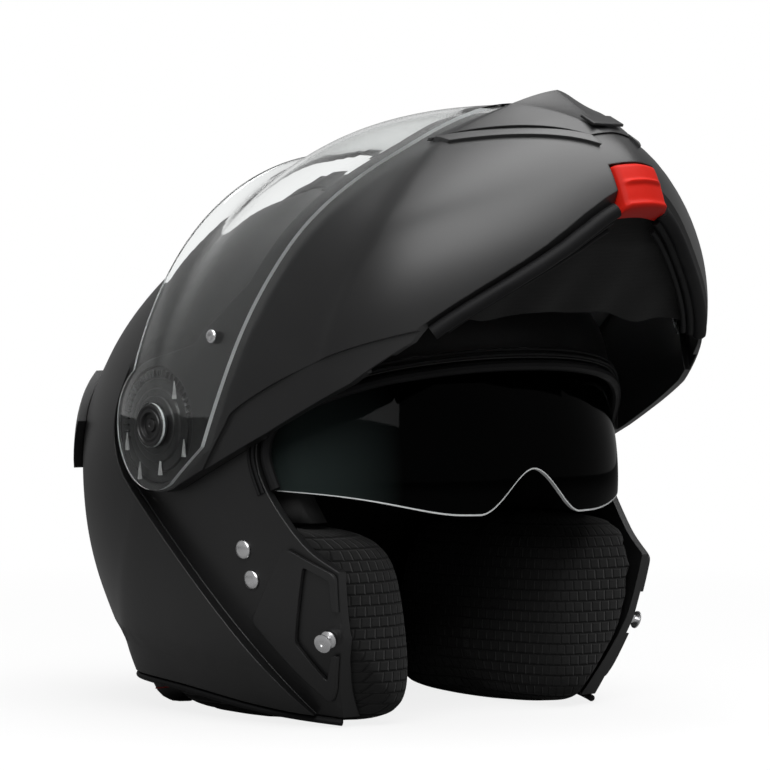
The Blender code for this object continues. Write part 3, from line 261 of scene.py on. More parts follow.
face_edge = (
    (0.126, 0.032), (0.103, 0.024), (0.080, 0.012), (0.066, 0.000), (0.062, -0.014), (0.068, -0.030),
    (0.088, -0.054), (0.106, -0.066), (0.102, -0.097), (0.092, -0.122), (0.086, -0.140),
)
rim_edge = ((0.086, -0.1355), (0.050, -0.1320), (0.000, -0.1255), (-0.060, -0.1225), (-0.200, -0.1215))
face_last = Vector(face_edge[0]) + (Vector(face_edge[0]) - Vector(face_edge[1])).normalized() * 0.15
step_angle = math.radians(-44)
step_top = math.radians(66)
step_lean = 0.35
step_low, step_high = half_width - 0.046, half_width + 0.019
tuck_depth, tuck_run, tuck_front, tuck_fade = 0.0016, 0.004, 0.07, 0.02


def step_outline(across):
    """Edge of the sunk panel at a width: round behind the hinge, then two straight runs forward."""
    near = 0.0385 - step_lean * (across - 0.1207)
    far = 0.0405 - step_lean * (across - 0.0992)
    run = Vector((math.cos(step_angle), math.sin(step_angle)))
    side = Vector((run.y, -run.x))
    end = side * far + run * 0.165
    beyond = end + (end - side * near).normalized() * 0.085
    top = Vector((math.cos(step_top), math.sin(step_top))) * 0.25
    lift = Vector((-math.sin(step_top), math.cos(step_top))) * near
    bend = arc(near, step_top + math.pi / 2, step_angle - math.pi / 2 + 2 * math.pi, 24)
    return bend + [tuple(end), tuple(beyond), (far_out, 0.0), tuple(top + lift)]


black_paint = finish("satin_black_paint", (0.0062, 0.0062, 0.0064), (0.0086, 0.0086, 0.0089), (0.36, 0.42),
                     cloud=14.0, grain=2600.0, depth=0.05, edge=0.0009, shine=0.62)
shell = skin_layer("helmet_shell", 0.0, None, 200, 104)
for vert in shell.data.vertices:
    forward, up = -vert.co.y, vert.co.z
    crease = -0.1045 - 0.10 * (forward + 0.02)
    tuck = tuck_depth * ease((crease - up) / tuck_run) * ease((tuck_front - forward) / tuck_fade)
    vert.co -= Vector((vert.co.x, vert.co.y, 0)).normalized() * tuck
for word, hand in both_sides:
    sunk = slab(f"sunk_{word}", step_outline(step_low), hand * step_low, hand * step_high, step_outline(step_high))
    carve(sunk, panel_layer("panel_floor", 0.0))
    carve(shell, sunk)
carve(shell, inside_layer("shell_inside", shell_wall))
face_cut = curved(face_edge[:8], 6) + list(face_edge[8:])
face_cut += [(face_edge[-1][0], -far_out), (far_out, -far_out), (far_out, face_last.y), tuple(face_last)]
carve(shell, slice_across("face_cut", face_cut))
rim_cut = [(far_out, rim_edge[0][1]), *curved(rim_edge, 5), (-far_out, rim_edge[-1][1]), (-far_out, -far_out),
           (far_out, -far_out)]
carve(shell, slice_across("rim_cut", rim_cut))
fit(shell, worn, "shell", black_paint, ["outer_shell"])


# Brow and rim trims: extruded rubber strips pushed over the shell's cut edges, round in section. The brow trim
# has two thin sealing ridges beside it, which the visor's upper edge presses on.
def spaced(points, count):
    lengths = [(b - a).length for a, b in zip(points, points[1:])]
    total = sum(lengths)
    even, step, passed = [], 0, 0.0
    for i in range(count + 1):
        goal = total * i / count
        while step < len(lengths) - 1 and goal > passed + lengths[step]:
            passed += lengths[step]
            step += 1
        even.append(points[step].lerp(points[step + 1], min((goal - passed) / lengths[step], 1.0)))
    return even


def shifted(outline, shift):
    moved = []
    for i, point in enumerate(outline):
        before = Vector(outline[max(i - 1, 0)])
        after = Vector(outline[min(i + 1, len(outline) - 1)])
        run = (after - before).normalized()
        moved.append(Vector((point[0] - run.y * shift, point[1] + run.x * shift)))
    return moved


def edge_path(line, inset, count, surface, stop=0.0):
    """Half of a strip along a side-view line on a layer of the skin, on the wearer's left."""
    track = []
    for point in spaced([Vector(p) for p in line], 900):
        width = max(surface(point.x, point.y, inset), stop)
        track.append(Vector((width, point.x, point.y)))
        if width == stop:
            break
    return [at(*p) for p in spaced(track, count)]


def mirrored(half):
    return half + [Vector((-p.x, p.y, p.z)) for p in reversed(half[:-1])]


def strip(name, points, radius, shares=None, sides=3):
    """A round strip along points, with closed ends."""
    curve = bpy.data.curves.new(name, "CURVE")
    curve.dimensions = "3D"
    curve.bevel_depth = radius
    curve.bevel_resolution = sides
    curve.use_fill_caps = True
    spline = curve.splines.new("POLY")
    spline.points.add(len(points) - 1)
    for i, point in enumerate(points):
        spline.points[i].co = (*point, 1)
        spline.points[i].radius = shares[i] if shares else 1.0
    guide = bpy.data.objects.new(name, curve)
    bpy.context.scene.collection.objects.link(guide)
    bm = bmesh.new()
    bm.from_mesh(bpy.data.meshes.new_from_object(guide.evaluated_get(bpy.context.evaluated_depsgraph_get())))
    bpy.data.objects.remove(guide, do_unlink=True)
    bmesh.ops.remove_doubles(bm, verts=bm.verts, dist=1e-6)
    bmesh.ops.recalc_face_normals(bm, faces=bm.faces)
    return solid(name, bm)


def banded(name, bands):
    """Strips side by side, each with its path and radius, as one piece."""
    bm = bmesh.new()
    for path, radius in bands:
        band = strip(name, path, radius)
        bm.from_mesh(band.data)
        bpy.data.objects.remove(band, do_unlink=True)
    return solid(name, bm)


def shell_across(forward, up, inset):
    return min(skin_across(forward, up, inset), panel_across(math.hypot(forward, up), inset))


trim_rubber = finish("black_trim_rubber", (0.010, 0.010, 0.0105), (0.014, 0.014, 0.0145), (0.46, 0.58),
                     cloud=60.0, grain=1800.0, depth=0.12, shine=0.10)
brow_line = curved([*reversed(face_edge[:6]), tuple(face_last)], 6)
brow_rows = ((0.0032, 0.0026, 0.0029), (-0.0015, 0.0008, -0.0009), (-0.0042, 0.0008, -0.0009))
brow_bands = [(mirrored(edge_path(shifted(brow_line, -inward), inset, 60, shell_across)), radius)
              for inward, radius, inset in brow_rows]
brow_trim = banded("brow_seal", brow_bands)
fit(brow_trim, worn, "shell", trim_rubber, ["brow_trim"])

running_gap = 0.0006
rim_radius = 0.0017
rim_line = shifted(curved(rim_edge, 5), rim_radius + running_gap)
rim_trim = strip("rim_seal", mirrored(edge_path(rim_line, shell_wall / 2, 70, skin_across)), rim_radius)
fit(rim_trim, worn, "shell", trim_rubber, ["rim_trim"])


# Striker plates: moulded black plates screwed to the cheek panels, each with a kite-shaped pocket round the pin
# that the chin bar's latch closes on. The pocket is open at the front, where the latch passes.
plate_edge = ((0.0790, -0.0555), (0.1054, -0.0674), (0.1014, -0.0970), (0.0915, -0.1216), (0.0868, -0.1285),
              (0.0530, -0.0910))
plate_pocket = ((0.0885, -0.0640), (0.1022, -0.0700), (0.1006, -0.0845), (0.1075, -0.0850), (0.1065, -0.1075),
                (0.0954, -0.1050), (0.0890, -0.1180), (0.0770, -0.1000))
plate_thickness = 0.0021
seat_gap = 0.0003
side_near, side_far = 0.06, 0.15
moulded_black = finish("moulded_black_plastic", (0.0075, 0.0075, 0.0078), (0.011, 0.011, 0.0113), (0.34, 0.44),
                       cloud=30.0, grain=2200.0, depth=0.10, edge=0.0006, shine=0.62)


def fillet(outline, radius, steps=4):
    rounded_line = []
    for i, corner in enumerate(outline):
        here = Vector(corner)
        back = Vector(outline[i - 1]) - here
        ahead = Vector(outline[(i + 1) % len(outline)]) - here
        reach = min(radius, 0.45 * back.length, 0.45 * ahead.length)
        start, end = here + back.normalized() * reach, here + ahead.normalized() * reach
        for step in range(steps + 1):
            t = step / steps
            point = start * (1 - t) ** 2 + here * 2 * t * (1 - t) + end * t ** 2
            rounded_line.append((point.x, point.y))
    return rounded_line


def side_slab(name, outline, hand):
    return slab(name, outline, hand * side_near, hand * side_far)


for word, hand in both_sides:
    plate = side_slab(f"latch_plate_{word}", fillet(plate_edge, 0.003), hand)
    carve(plate, panel_layer("plate_top", plate_thickness), "INTERSECT")
    carve(plate, panel_layer("plate_seat", seat_gap))
    carve(plate, side_slab("pocket", fillet(plate_pocket, 0.002), hand))
    fit(plate, worn, "shell", moulded_black, [f"striker_plate_{word}"])


# Striker pins and strap rivets: turned and polished steel, pressed through the cheek panel. A pin has a flange,
# a waisted neck for the latch and a broad head; the rivets of the chin strap have low domes.
def turned(name, profile, base, direction, segments=48):
    bm = bmesh.new()
    ring = [bm.verts.new((radius, 0, out)) for out, radius in profile]
    edges = [bm.edges.new(pair) for pair in zip(ring, ring[1:])]
    bmesh.ops.spin(bm, geom=ring + edges, cent=(0, 0, 0), axis=(0, 0, 1), angle=2 * math.pi, steps=segments,
                   use_merge=True, dvec=(0, 0, 0))
    bmesh.ops.remove_doubles(bm, verts=bm.verts, dist=1e-6)
    bmesh.ops.recalc_face_normals(bm, faces=bm.faces)
    turn = Vector((0, 0, 1)).rotation_difference(Vector(direction)).to_matrix().to_4x4()
    bmesh.ops.transform(bm, matrix=Matrix.Translation(base) @ turn, verts=bm.verts)
    return solid(name, bm)


def panel_point(hand, forward, up, lift):
    distance = math.hypot(forward, up)
    fall = (panel_across(distance - 0.001) - panel_across(distance + 0.001)) / 0.002
    out = at(hand, fall * forward / distance, fall * up / distance).normalized()
    return at(hand * panel_across(distance), forward, up) + out * lift, out


polished_steel = finish("polished_steel", (0.82, 0.82, 0.83), (0.90, 0.90, 0.91), (0.20, 0.30),
                        cloud=300.0, grain=4000.0, depth=0.04, metallic=1.0)
pin_spot = (0.0945, -0.0975)
pin_length = 0.0058
pin_profile = ((-0.0002, 0), (-0.0002, 0.0042), (0.0006, 0.0042), (0.0008, 0.0040), (0.0018, 0.0023),
               (0.0046, 0.0022), (0.0047, 0.0041), (0.0050, 0.0044), (0.0056, 0.0044), (0.0058, 0.0041),
               (0.0058, 0.0014), (0.0054, 0.0010), (0.0054, 0))
rivet_radius, rivet_dome = 0.0046, 0.0016
rivet_profile = [(-0.0001, 0), (-0.0001, rivet_radius)] + [
    (0.0002 + rivet_dome * math.sin(math.pi / 14 * i), rivet_radius * math.cos(math.pi / 14 * i)) for i in range(7)
] + [(0.0002 + rivet_dome, 0)]
rivet_spots = (("upper", 0.051, -0.0575), ("lower", 0.0547, -0.0715))
for word, hand in both_sides:
    base, out = panel_point(hand, *pin_spot, running_gap)
    pin = turned(f"latch_pin_{word}", pin_profile, base, out)
    fit(pin, worn, "shell", polished_steel, [f"striker_pin_{word}"], 40)
    for row, forward, up in rivet_spots:
        base, out = panel_point(hand, forward, up, seat_gap)
        rivet = turned(f"rivet_{row}_{word}", rivet_profile, base, out)
        fit(rivet, worn, "shell", polished_steel, [f"strap_rivet_{row}_{word}"], 40)


# Impact liner: expanded polystyrene beads moulded to the shell's inside and blackened, with the slot that the
# sun visor rises into. The CAD shape is right, so it is welded, shaded and given the beads' pebbled surface.
def soften(piece, width, segments=2):
    step = piece.modifiers.new("soft_edges", "BEVEL")
    step.width = width
    step.segments = segments
    step.limit_method = "ANGLE"
    step.angle_limit = math.radians(35)
    step.use_clamp_overlap = True


def cad_piece(name, source, body, surface, sharp=30, edge=0.0):
    """A piece whose CAD shape is right, welded, with its edges broken and its finish on."""
    bm = bmesh.new()
    bm.from_mesh(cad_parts[source].data)
    bmesh.ops.remove_doubles(bm, verts=bm.verts, dist=2e-6)
    piece = solid(name, bm)
    if edge:
        soften(piece, edge)
    fit(piece, Matrix.Identity(4), body, surface, [source], sharp)


def pebbled(surface, scale, feature):
    """Give a finish a relief of cells."""
    tree = surface.node_tree
    where = node(tree, "TexCoord").outputs["Object"]
    cells = node(tree, "TexVoronoi", {"Scale": scale, "Vector": where}, feature=feature)
    feed(tree, tree.nodes["relief"], {"Height": cells})


bead_foam = finish("blackened_bead_foam", (0.015, 0.015, 0.015), (0.022, 0.022, 0.022), (0.80, 0.92),
                   cloud=80.0, grain=900.0, depth=0.2, shine=0.2)
pebbled(bead_foam, 320.0, "F1")
cad_piece("foam_liner", "impact_liner", "shell", bead_foam, 40)


# Crown pad: a removable lining of brushed knit over soft foam, sewn in broad channels that run from the brow to
# the nape and snapped to the liner.
def fabric(name, dark, light, threads, depth):
    """Knitted cloth: rows of loops a thread apart, with a soft sheen."""
    made = finish(name, dark, light, (0.86, 0.96), cloud=40.0, grain=2400.0, depth=depth, shine=0.2)
    tree = made.node_tree
    feed(tree, tree.nodes["Principled BSDF"], {"Sheen Weight": 0.08, "Sheen Roughness": 0.5})
    where = node(tree, "TexCoord").outputs["Object"]
    rows = node(tree, "TexWave", {"Scale": threads, "Distortion": 1.5, "Detail Scale": 3.0, "Vector": where})
    loops = node(tree, "TexWave", {"Scale": threads, "Distortion": 1.5, "Vector": where}, bands_direction="Z")
    knit = node(tree, "Math", {0: rows.outputs["Fac"], 1: loops.outputs["Fac"]}, operation="MULTIPLY")
    feed(tree, tree.nodes["relief"], {"Height": knit})
    return made


brushed_knit = fabric("brushed_knit", (0.013, 0.013, 0.013), (0.019, 0.019, 0.019), 260.0, 0.5)
crown_outer, crown_inner = 0.0346, 0.0430
channel_width, channel_depth = 0.030, 0.018
brow_room = 0.012
crown_side, crown_nape = -0.020, -0.104
crown = skin_layer("crown_lining", crown_outer, None, 120, 64)
hollow = skin_layer("crown_hollow", crown_inner, None, 120, 64)
for vert in hollow.data.vertices:
    channel = abs(math.sin(vert.co.x / channel_width * math.pi))
    vert.co *= 1 - channel_depth * (1 - (1 - channel) ** 3)
carve(crown, hollow)
brow_back = [(forward - brow_room, up + brow_room) for forward, up in face_edge[:5]]
brow_back += [(0.076, -0.054), (0.076, -far_out), (far_out, -far_out), (far_out, face_last.y + brow_room),
              (face_last.x, face_last.y + brow_room)]
carve(crown, slice_across("crown_front", brow_back))
below = [(far_out, crown_side), (-0.045, crown_side), (-0.065, crown_nape), (-far_out, crown_nape),
         (-far_out, -far_out), (far_out, -far_out)]
carve(crown, slice_across("crown_below", below))
fit(crown, worn, "shell", brushed_knit, ["crown_pad"], 50)


# Cheek pads: moulded foam blocks in a quilted knit whose cells stand up like small bricks, plump and pressed
# against the shell. They fill by cloth pressure from a slightly smaller block, and the helmet stands on them.
quilted_knit = fabric("quilted_knit", (0.0105, 0.0105, 0.0105), (0.015, 0.015, 0.015), 900.0, 0.15)
quilt_tree = quilted_knit.node_tree
quilt_shader = quilt_tree.nodes["Principled BSDF"]
quilt_map = node(quilt_tree, "UVMap", uv_map="quilt")
cells = node(quilt_tree, "TexBrick", {
    "Color1": (1, 1, 1, 1), "Color2": (0.92, 0.92, 0.92, 1), "Mortar": (0, 0, 0, 1), "Scale": 1.0, "Mortar Size": 0.09,
    "Mortar Smooth": 1.0, "Brick Width": 0.60, "Row Height": 0.52, "Vector": quilt_map}, offset=0.5)
swell = node(quilt_tree, "Bump", {"Strength": 0.7, "Distance": 0.0016, "Height": cells,
                                  "Normal": quilt_tree.nodes["relief"]})
cloth_tint = quilt_shader.inputs["Base Color"].links[0].from_socket
# Painted shade: the cells' black mortar darkens the cloth's colour in the grooves between the cells.
groove_painted_shade = node(quilt_tree, "Mix", {"Factor": 0.7}, data_type="RGBA", blend_type="MULTIPLY")
feed(quilt_tree, groove_painted_shade, {"A": cloth_tint, "B": cells})
feed(quilt_tree, quilt_shader, {"Normal": swell, "Base Color": groove_painted_shade.outputs["Result"]})


def stuffed(piece, voxel, pressure, cap):
    """Fill a pad by cloth pressure, with no point moving further than the cap."""
    weave = piece.modifiers.new("weave", "REMESH")
    weave.mode = "VOXEL"
    weave.voxel_size = voxel
    settle(piece)
    start = [v.co.copy() for v in piece.data.vertices]
    cloth = piece.modifiers.new("fill", "CLOTH")
    cloth.settings.use_pressure = True
    cloth.settings.uniform_pressure_force = pressure
    cloth.settings.effector_weights.gravity = 0
    for moment in range(1, 21):
        bpy.context.scene.frame_set(moment)
    settle(piece)
    for vert, home in zip(piece.data.vertices, start):
        move = vert.co - home
        vert.co = home + move * min(1.0, cap / max(move.length, 1e-9))
    bpy.context.scene.frame_set(1)


cheek_half = Vector((0.055, 0.0665, 0.0470))
cheek_middle = (0.098, 0.0365, -0.0930)
cheek_top = -0.0456
cell_size = 0.0100
fill_room = 0.0012
pads = {}
for word, hand in both_sides:
    bm = bmesh.new()
    bmesh.ops.create_uvsphere(bm, u_segments=72, v_segments=44, radius=1.0)
    middle = at(hand * cheek_middle[0], *cheek_middle[1:])
    for vert in bm.verts:
        square = mix(7.0, 4.0, ease(vert.co.z + 0.5))
        size = sum(abs(c) ** square for c in vert.co) ** (1 / square)
        vert.co = Vector(c / size * (h - fill_room) for c, h in zip(vert.co, cheek_half)) + middle
    pad = solid(f"cheek_cushion_{word}", bm)
    carve(pad, inside_layer("cheek_room", 0.0055), "INTERSECT")
    stuffed(pad, voxel=0.0042, pressure=4.0, cap=0.0035)
    for vert in pad.data.vertices:
        forward, up = -vert.co.y, vert.co.z
        room = shell_across(forward, up, shell_wall + running_gap)
        vert.co.x = hand * min(hand * vert.co.x, max(room, 0.045))
        vert.co.z = min(max(up, -hinge.z), cheek_top)
    layer = pad.data.uv_layers.new(name="quilt")
    for loop in pad.data.loops:
        spot = pad.data.vertices[loop.vertex_index].co - middle
        turn = math.atan2(spot.y / cheek_half.y, hand * spot.x / cheek_half.x)
        square = max(abs(math.cos(turn)), abs(math.sin(turn)))
        run = (math.cos(turn) / square * cheek_half.x, math.sin(turn) / square * cheek_half.y)
        quarter = cheek_half.x + cheek_half.y
        if abs(math.sin(turn)) > abs(math.cos(turn)):
            length = math.copysign(cheek_half.y + cheek_half.x - run[0], run[1])
        else:
            length = run[1] if run[0] > 0 else math.copysign(2 * quarter - abs(run[1]), run[1])
        layer.data[loop.index].uv = (length / cell_size, spot.z / cell_size)
    smoother = pad.modifiers.new("plump", "SUBSURF")
    smoother.levels = 1
    smoother.render_levels = 1
    fit(pad, worn, "shell", quilted_knit, [f"cheek_pad_{word}"], 180)
    pads[hand] = pad


# Neck roll: a padded roll in black imitation leather round the nape, sewn to the lining with a visible red
# thread along its outer side. The seam runs on along the cheek pads' lower edges.
nape_leather = finish("imitation_leather", (0.017, 0.017, 0.017), (0.026, 0.026, 0.026), (0.48, 0.62),
                      cloud=45.0, grain=1500.0, depth=0.3, shine=0.4)
pebbled(nape_leather, 520.0, "DISTANCE_TO_EDGE")
roll_radius = 0.0142
roll_up = -0.1265
roll_steps = 33
rim_half = edge_path([(-0.0338, -0.1255), (-far_out, -0.1255)], shell_wall + 0.0012, 40, skin_across)
roll_plan = shifted([(p.x, -p.y) for p in rim_half], -roll_radius - seat_gap)
roll_half = [at(p.x, p.y, roll_up) for p in spaced(roll_plan, roll_steps)]
roll_half[-1].x = 0.0
half_shares = [mix(0.45, 1.0, ease(3 * i / roll_steps)) * (1 - 0.02 * (i % 3 == 0)) for i in range(roll_steps + 1)]
roll_shares = half_shares + half_shares[-2::-1]
roll_path = mirrored(roll_half)
roll = strip("nape_roll", roll_path, roll_radius, roll_shares, 8)
for vert in roll.data.vertices:
    vert.co.z = max(vert.co.z, -hinge.z)
fit(roll, worn, "shell", nape_leather, ["neck_roll"], 60)

red_thread = finish("red_thread", (0.42, 0.010, 0.010), (0.60, 0.016, 0.014), (0.60, 0.75),
                    cloud=400.0, grain=3000.0, depth=0.3)
thread_radius, stitch_share, stitch_count = 0.0004, 0.36, 210
seam_up, seam_front, seam_back, seam_steps = -0.1375, 0.050, -0.027, 13
stitch_line = []
for i, point in enumerate(roll_path):
    run = (roll_path[min(i + 1, len(roll_path) - 1)] - roll_path[max(i - 1, 0)]).normalized()
    out = Vector((run.y, -run.x, 0))
    out = out if out.dot(point - at(0, -0.03, point.z)) > 0 else -out
    stitch_line.append(point + (out * 0.86 + Vector((0, 0, -0.50))) * (roll_radius + 0.0001) * roll_shares[i])
seams = {1: [], -1: []}
for hand, seam in seams.items():
    for i in range(seam_steps + 1):
        aim = worn @ at(hand * half_width, mix(seam_front, seam_back, i / seam_steps), seam_up)
        seam.append(pads[hand].closest_point_on_mesh(aim)[1] - hinge)
stitch_line = seams[1] + stitch_line + seams[-1][::-1]
bm = bmesh.new()
thread_path = spaced(stitch_line, stitch_count)
for a, b in list(zip(thread_path, thread_path[1:]))[4:-4]:
    made = bmesh.ops.create_uvsphere(bm, u_segments=8, v_segments=5, radius=thread_radius)["verts"]
    turn = Vector((0, 0, 1)).rotation_difference(b - a).to_matrix().to_4x4()
    stretch = Matrix.Diagonal((1.0, 1.0, stitch_share * (b - a).length / thread_radius, 1.0))
    bmesh.ops.transform(bm, matrix=Matrix.Translation((a + b) / 2) @ turn @ stretch, verts=made)
stitches = solid("nape_stitching", bm)
fit(stitches, worn, "shell", red_thread, [], 180)


# Sun visor: a dark smoked polycarbonate lens with a nose cut-out, hung by its moulded arms on two pins inside
# the shell. It drops in front of the eyes.
sun_place = Matrix.Translation(hinge + Vector((0, 0, -0.027)))
sun_radius = 0.1295
sun_half = 0.1115
sun_thickness = 0.0022
lens_half = 0.1065
lens_low, lens_high, lens_side_rise = math.radians(-6.6), math.radians(33), math.radians(4)
nose_half, nose_rise = 0.033, math.radians(9.5)


def see_through(name, values, haze_scale, gloss):
    """A clear plastic whose gloss drifts a little."""
    made, tree, shader = material(name)
    where = node(tree, "TexCoord").outputs["Object"]
    haze = node(tree, "TexNoise", {"Scale": haze_scale, "Vector": where})
    drift = node(tree, "MapRange", {"To Min": gloss[0], "To Max": gloss[1], "Value": haze.outputs["Fac"]})
    feed(tree, shader, {**values, "Roughness": drift})
    return made


smoked = see_through("smoked_polycarbonate", {"Transmission Weight": 0.55, "IOR": 1.14, "Specular IOR Level": 0.06},
                     haze_scale=60.0, gloss=(0.03, 0.07))
smoked_tree = smoked.node_tree
lens_where = node(smoked_tree, "TexCoord").outputs["Object"]
lens_split = node(smoked_tree, "SeparateXYZ", {"Vector": lens_where})
lens_side = node(smoked_tree, "Math", {0: lens_split}, operation="ABSOLUTE")
lens_fade = node(smoked_tree, "MapRange", {"From Min": 0.070, "From Max": 0.100, "Value": lens_side})
lens_tint = node(smoked_tree, "ValToRGB", {"Fac": lens_fade})
lens_tint.color_ramp.elements[0].color = (0.0008, 0.0010, 0.0010, 1)
lens_tint.color_ramp.elements[1].color = (0.05, 0.068, 0.065, 1)
feed(smoked_tree, smoked_tree.nodes["Principled BSDF"], {"Base Color": lens_tint})


def lens_point(u, v, lift):
    across = mix(-lens_half, lens_half, u)
    side = abs(across) / lens_half
    nose = nose_rise * (1 - ease(abs(across) / nose_half))
    low = lens_low + nose + lens_side_rise * ease((side - 0.4) / 0.6)
    angle = mix(low, lens_high, v ** 1.4)
    reach = bulge(abs(across) / (sun_half + lift), sun_radius + lift, 2.7)
    return at(across, reach * math.cos(angle), reach * math.sin(angle))


def sheet_solid(name, place, low, high, across, along, edge_slot=0):
    """A closed piece over a grid, between a low and a high level of place(u, v, level)."""
    bm = bmesh.new()
    bmesh.ops.create_grid(bm, x_segments=across, y_segments=along, size=0.5)
    bmesh.ops.translate(bm, verts=bm.verts, vec=(0.5, 0.5, 0))
    grown = bmesh.ops.extrude_face_region(bm, geom=bm.faces[:], use_keep_orig=True)["geom"]
    lifted = {item for item in grown if isinstance(item, bmesh.types.BMVert)}
    for face in bm.faces:
        if face.calc_center_median().y < 1 / along:
            face.material_index = edge_slot
    for vert in bm.verts:
        vert.co = place(vert.co.x, vert.co.y, high if vert in lifted else low)
    bmesh.ops.recalc_face_normals(bm, faces=bm.faces)
    if bm.calc_volume(signed=True) < 0:
        bmesh.ops.reverse_faces(bm, faces=bm.faces)
    return solid(name, bm)


lens = sheet_solid("sun_lens", lens_point, -sun_thickness, 0.0, 120, 28, edge_slot=1)
fit(lens, sun_place, "sun_visor", smoked, ["sun_visor"])
# The lens's lower edge band is painted light grey, a painted highlight for the bright line along it.
lens.data.materials.append(finish("lens_edge_painted_highlight", (0.72, 0.74, 0.74), (0.80, 0.82, 0.82), (0.20, 0.30),
                                  cloud=120.0, grain=2500.0, depth=0.04))
for word, hand in both_sides:
    cad_piece(f"lens_arm_{word}", f"sun_visor_arm_{word}", "sun_visor", smoked)
    cad_piece(f"lens_pivot_{word}", f"sun_visor_pin_{word}", "shell", polished_steel)


# Sun visor slider: a ribbed black thumb slide on the left of the rim that pulls the lens's cable. It is moulded in
# one piece and runs on the shell's outside.
slide_ribs, rib_depth, slide_height, slide_taper = 7, 0.0004, 0.0045, 0.25


def slide_point(u, v, top):
    u, v = mix(u, 0.5, slide_taper * top), mix(v, 0.5, slide_taper * top)
    forward, up = 0.014 - 0.024 * u, -0.1045 - 0.009 * v
    wave = top * rib_depth * (math.cos(u * 2 * math.pi * slide_ribs) - 1) * ease(min(u, 1 - u) * 6)
    return at(skin_across(forward, up) + (slide_height if top else running_gap) + wave, forward, up)


thumb = sheet_solid("thumb_slide", slide_point, 0, 1, 64, 8)
fit(thumb, worn, "sun_visor_slider", moulded_black, ["sun_visor_slider"], 40)


# Chin bar: the moulded front that lifts on the hinge pins, satin black like the shell. Its arms run over the
# cheek panels, a crease sets their lower flanks back, and a notch in its lower edge takes the release button. It is
# modelled closed and placed raised, and hollows inside the arms clear the striker plates and pins.
raise_angle = math.radians(68)
raised = worn @ Matrix.Rotation(-raise_angle, 4, "X")
chin_rear = ((0.026, -0.0709), (0.0483, -0.0911), (0.0648, -0.1057), (0.092, -0.1225))
chin_crease = ((-0.030, -0.033), (0.016, -0.045), (0.032, -0.052), (0.069, -0.088), (0.098, -0.1235))
chin_bottom = ((0.099, -0.1235), (0.147, -0.1415), (0.200, -0.1425))
chin_top = ((0.200, -0.040), (0.150, -0.040), (0.085, -0.032), (0.045, -0.010))
chin_wall, chin_side_wall = 0.004, 0.0077
arm_round, arm_reach = 0.032, 0.125
plate_room, axle_room, pin_room_depth = 0.0281, 0.0078, 0.0080
arm_floor = half_width - 0.0045 - seat_gap
button_depth = 0.0085
flank_depth = 0.0016
relief_low, relief_high, relief_steps = math.radians(-95), math.radians(-30), 20
relief_near, relief_far, relief_lift = 0.070, 0.165, 0.0030
groove_wall = 0.0026
groove_ahead, groove_behind = math.radians(2.4), math.radians(11.6)
groove_inside, groove_outside = 0.0062, 0.0056
chin_line = arc(arm_round, math.radians(38), math.radians(228), 40) + list(chin_rear) + curved(chin_bottom, 6)
chin_line += [(far_out, chin_bottom[-1][1]), (far_out, chin_top[0][1])] + list(chin_top)
button_low, button_high = math.radians(-41.8), math.radians(-36.2)
button_half = 0.0135
notch_half = button_half + 0.001
notch_deep = skin_radius(button_low) - button_depth - 0.004 - 0.0012
notch_low, notch_high = button_low - math.radians(8), button_high + math.radians(0.3)


def circle(radius, steps):
    return arc(radius, 0, 2 * math.pi, steps)[:-1]


def notch():
    corners = ((notch_deep, notch_low), (far_out, notch_low), (far_out, notch_high), (notch_deep, notch_high))
    return slab("notch", [(r * math.cos(a), r * math.sin(a)) for r, a in corners], -notch_half, notch_half)


chin_fold = (
    (0.187, -0.045), (0.170, -0.060), (0.158, -0.072), (0.145, -0.082), (0.128, -0.088), (0.113, -0.0885),
    (0.099, -0.0888), (0.084, -0.0892), (0.070, -0.0905), (0.040, -0.096),
)
fold_depth, fold_width = 0.0019, 0.010


def above_fold(forward, up):
    """How far a place in the side view lies above the fold, and below zero under it."""
    place = Vector((forward, up))
    nearest = None
    for a, b in zip(chin_fold, chin_fold[1:]):
        start, run = Vector(a), Vector(b) - Vector(a)
        off = place - start - run * min(max((place - start).dot(run) / run.length_squared, 0.0), 1.0)
        height = math.copysign(off.length, run.cross(off))
        if nearest is None or abs(height) < abs(nearest):
            nearest = height
    return -nearest


chin = skin_layer("chin_guard", 0.0, None, 330, 165)
for vert in chin.data.vertices:
    forward, up = -vert.co.y, vert.co.z
    if forward > 0.03 and up < 0.0:
        height = above_fold(forward, up) / fold_width
        if height > 0:
            share = ease((abs(vert.co.x) - 0.036) / 0.022) * ease((forward - 0.045) / 0.03)
            vert.co -= vert.normal * fold_depth * share * height * math.exp(1 - height)
carve(chin, skin_layer("chin_hollow", chin_wall, chin_side_wall))
arm_run = slice_across("arm_run", circle(arm_reach, 90))
carve(arm_run, panel_layer("arm_floor", running_gap), "INTERSECT")
carve(chin, arm_run)
relief = slice_across("fittings_room", arc(relief_far, relief_low, relief_high, relief_steps)
                      + arc(relief_near, relief_high, relief_low, relief_steps))
carve(relief, panel_layer("fittings_top", relief_lift), "INTERSECT")
carve(chin, relief)
flank = slice_across("flank", [*curved(chin_crease, 8), (chin_crease[-1][0], -far_out), (chin_crease[0][0], -far_out)])
carve(flank, skin_layer("flank_floor", flank_depth))
carve(chin, flank)
carve(chin, slice_across("chin_outline", chin_line), "INTERSECT")
carve(chin, notch())
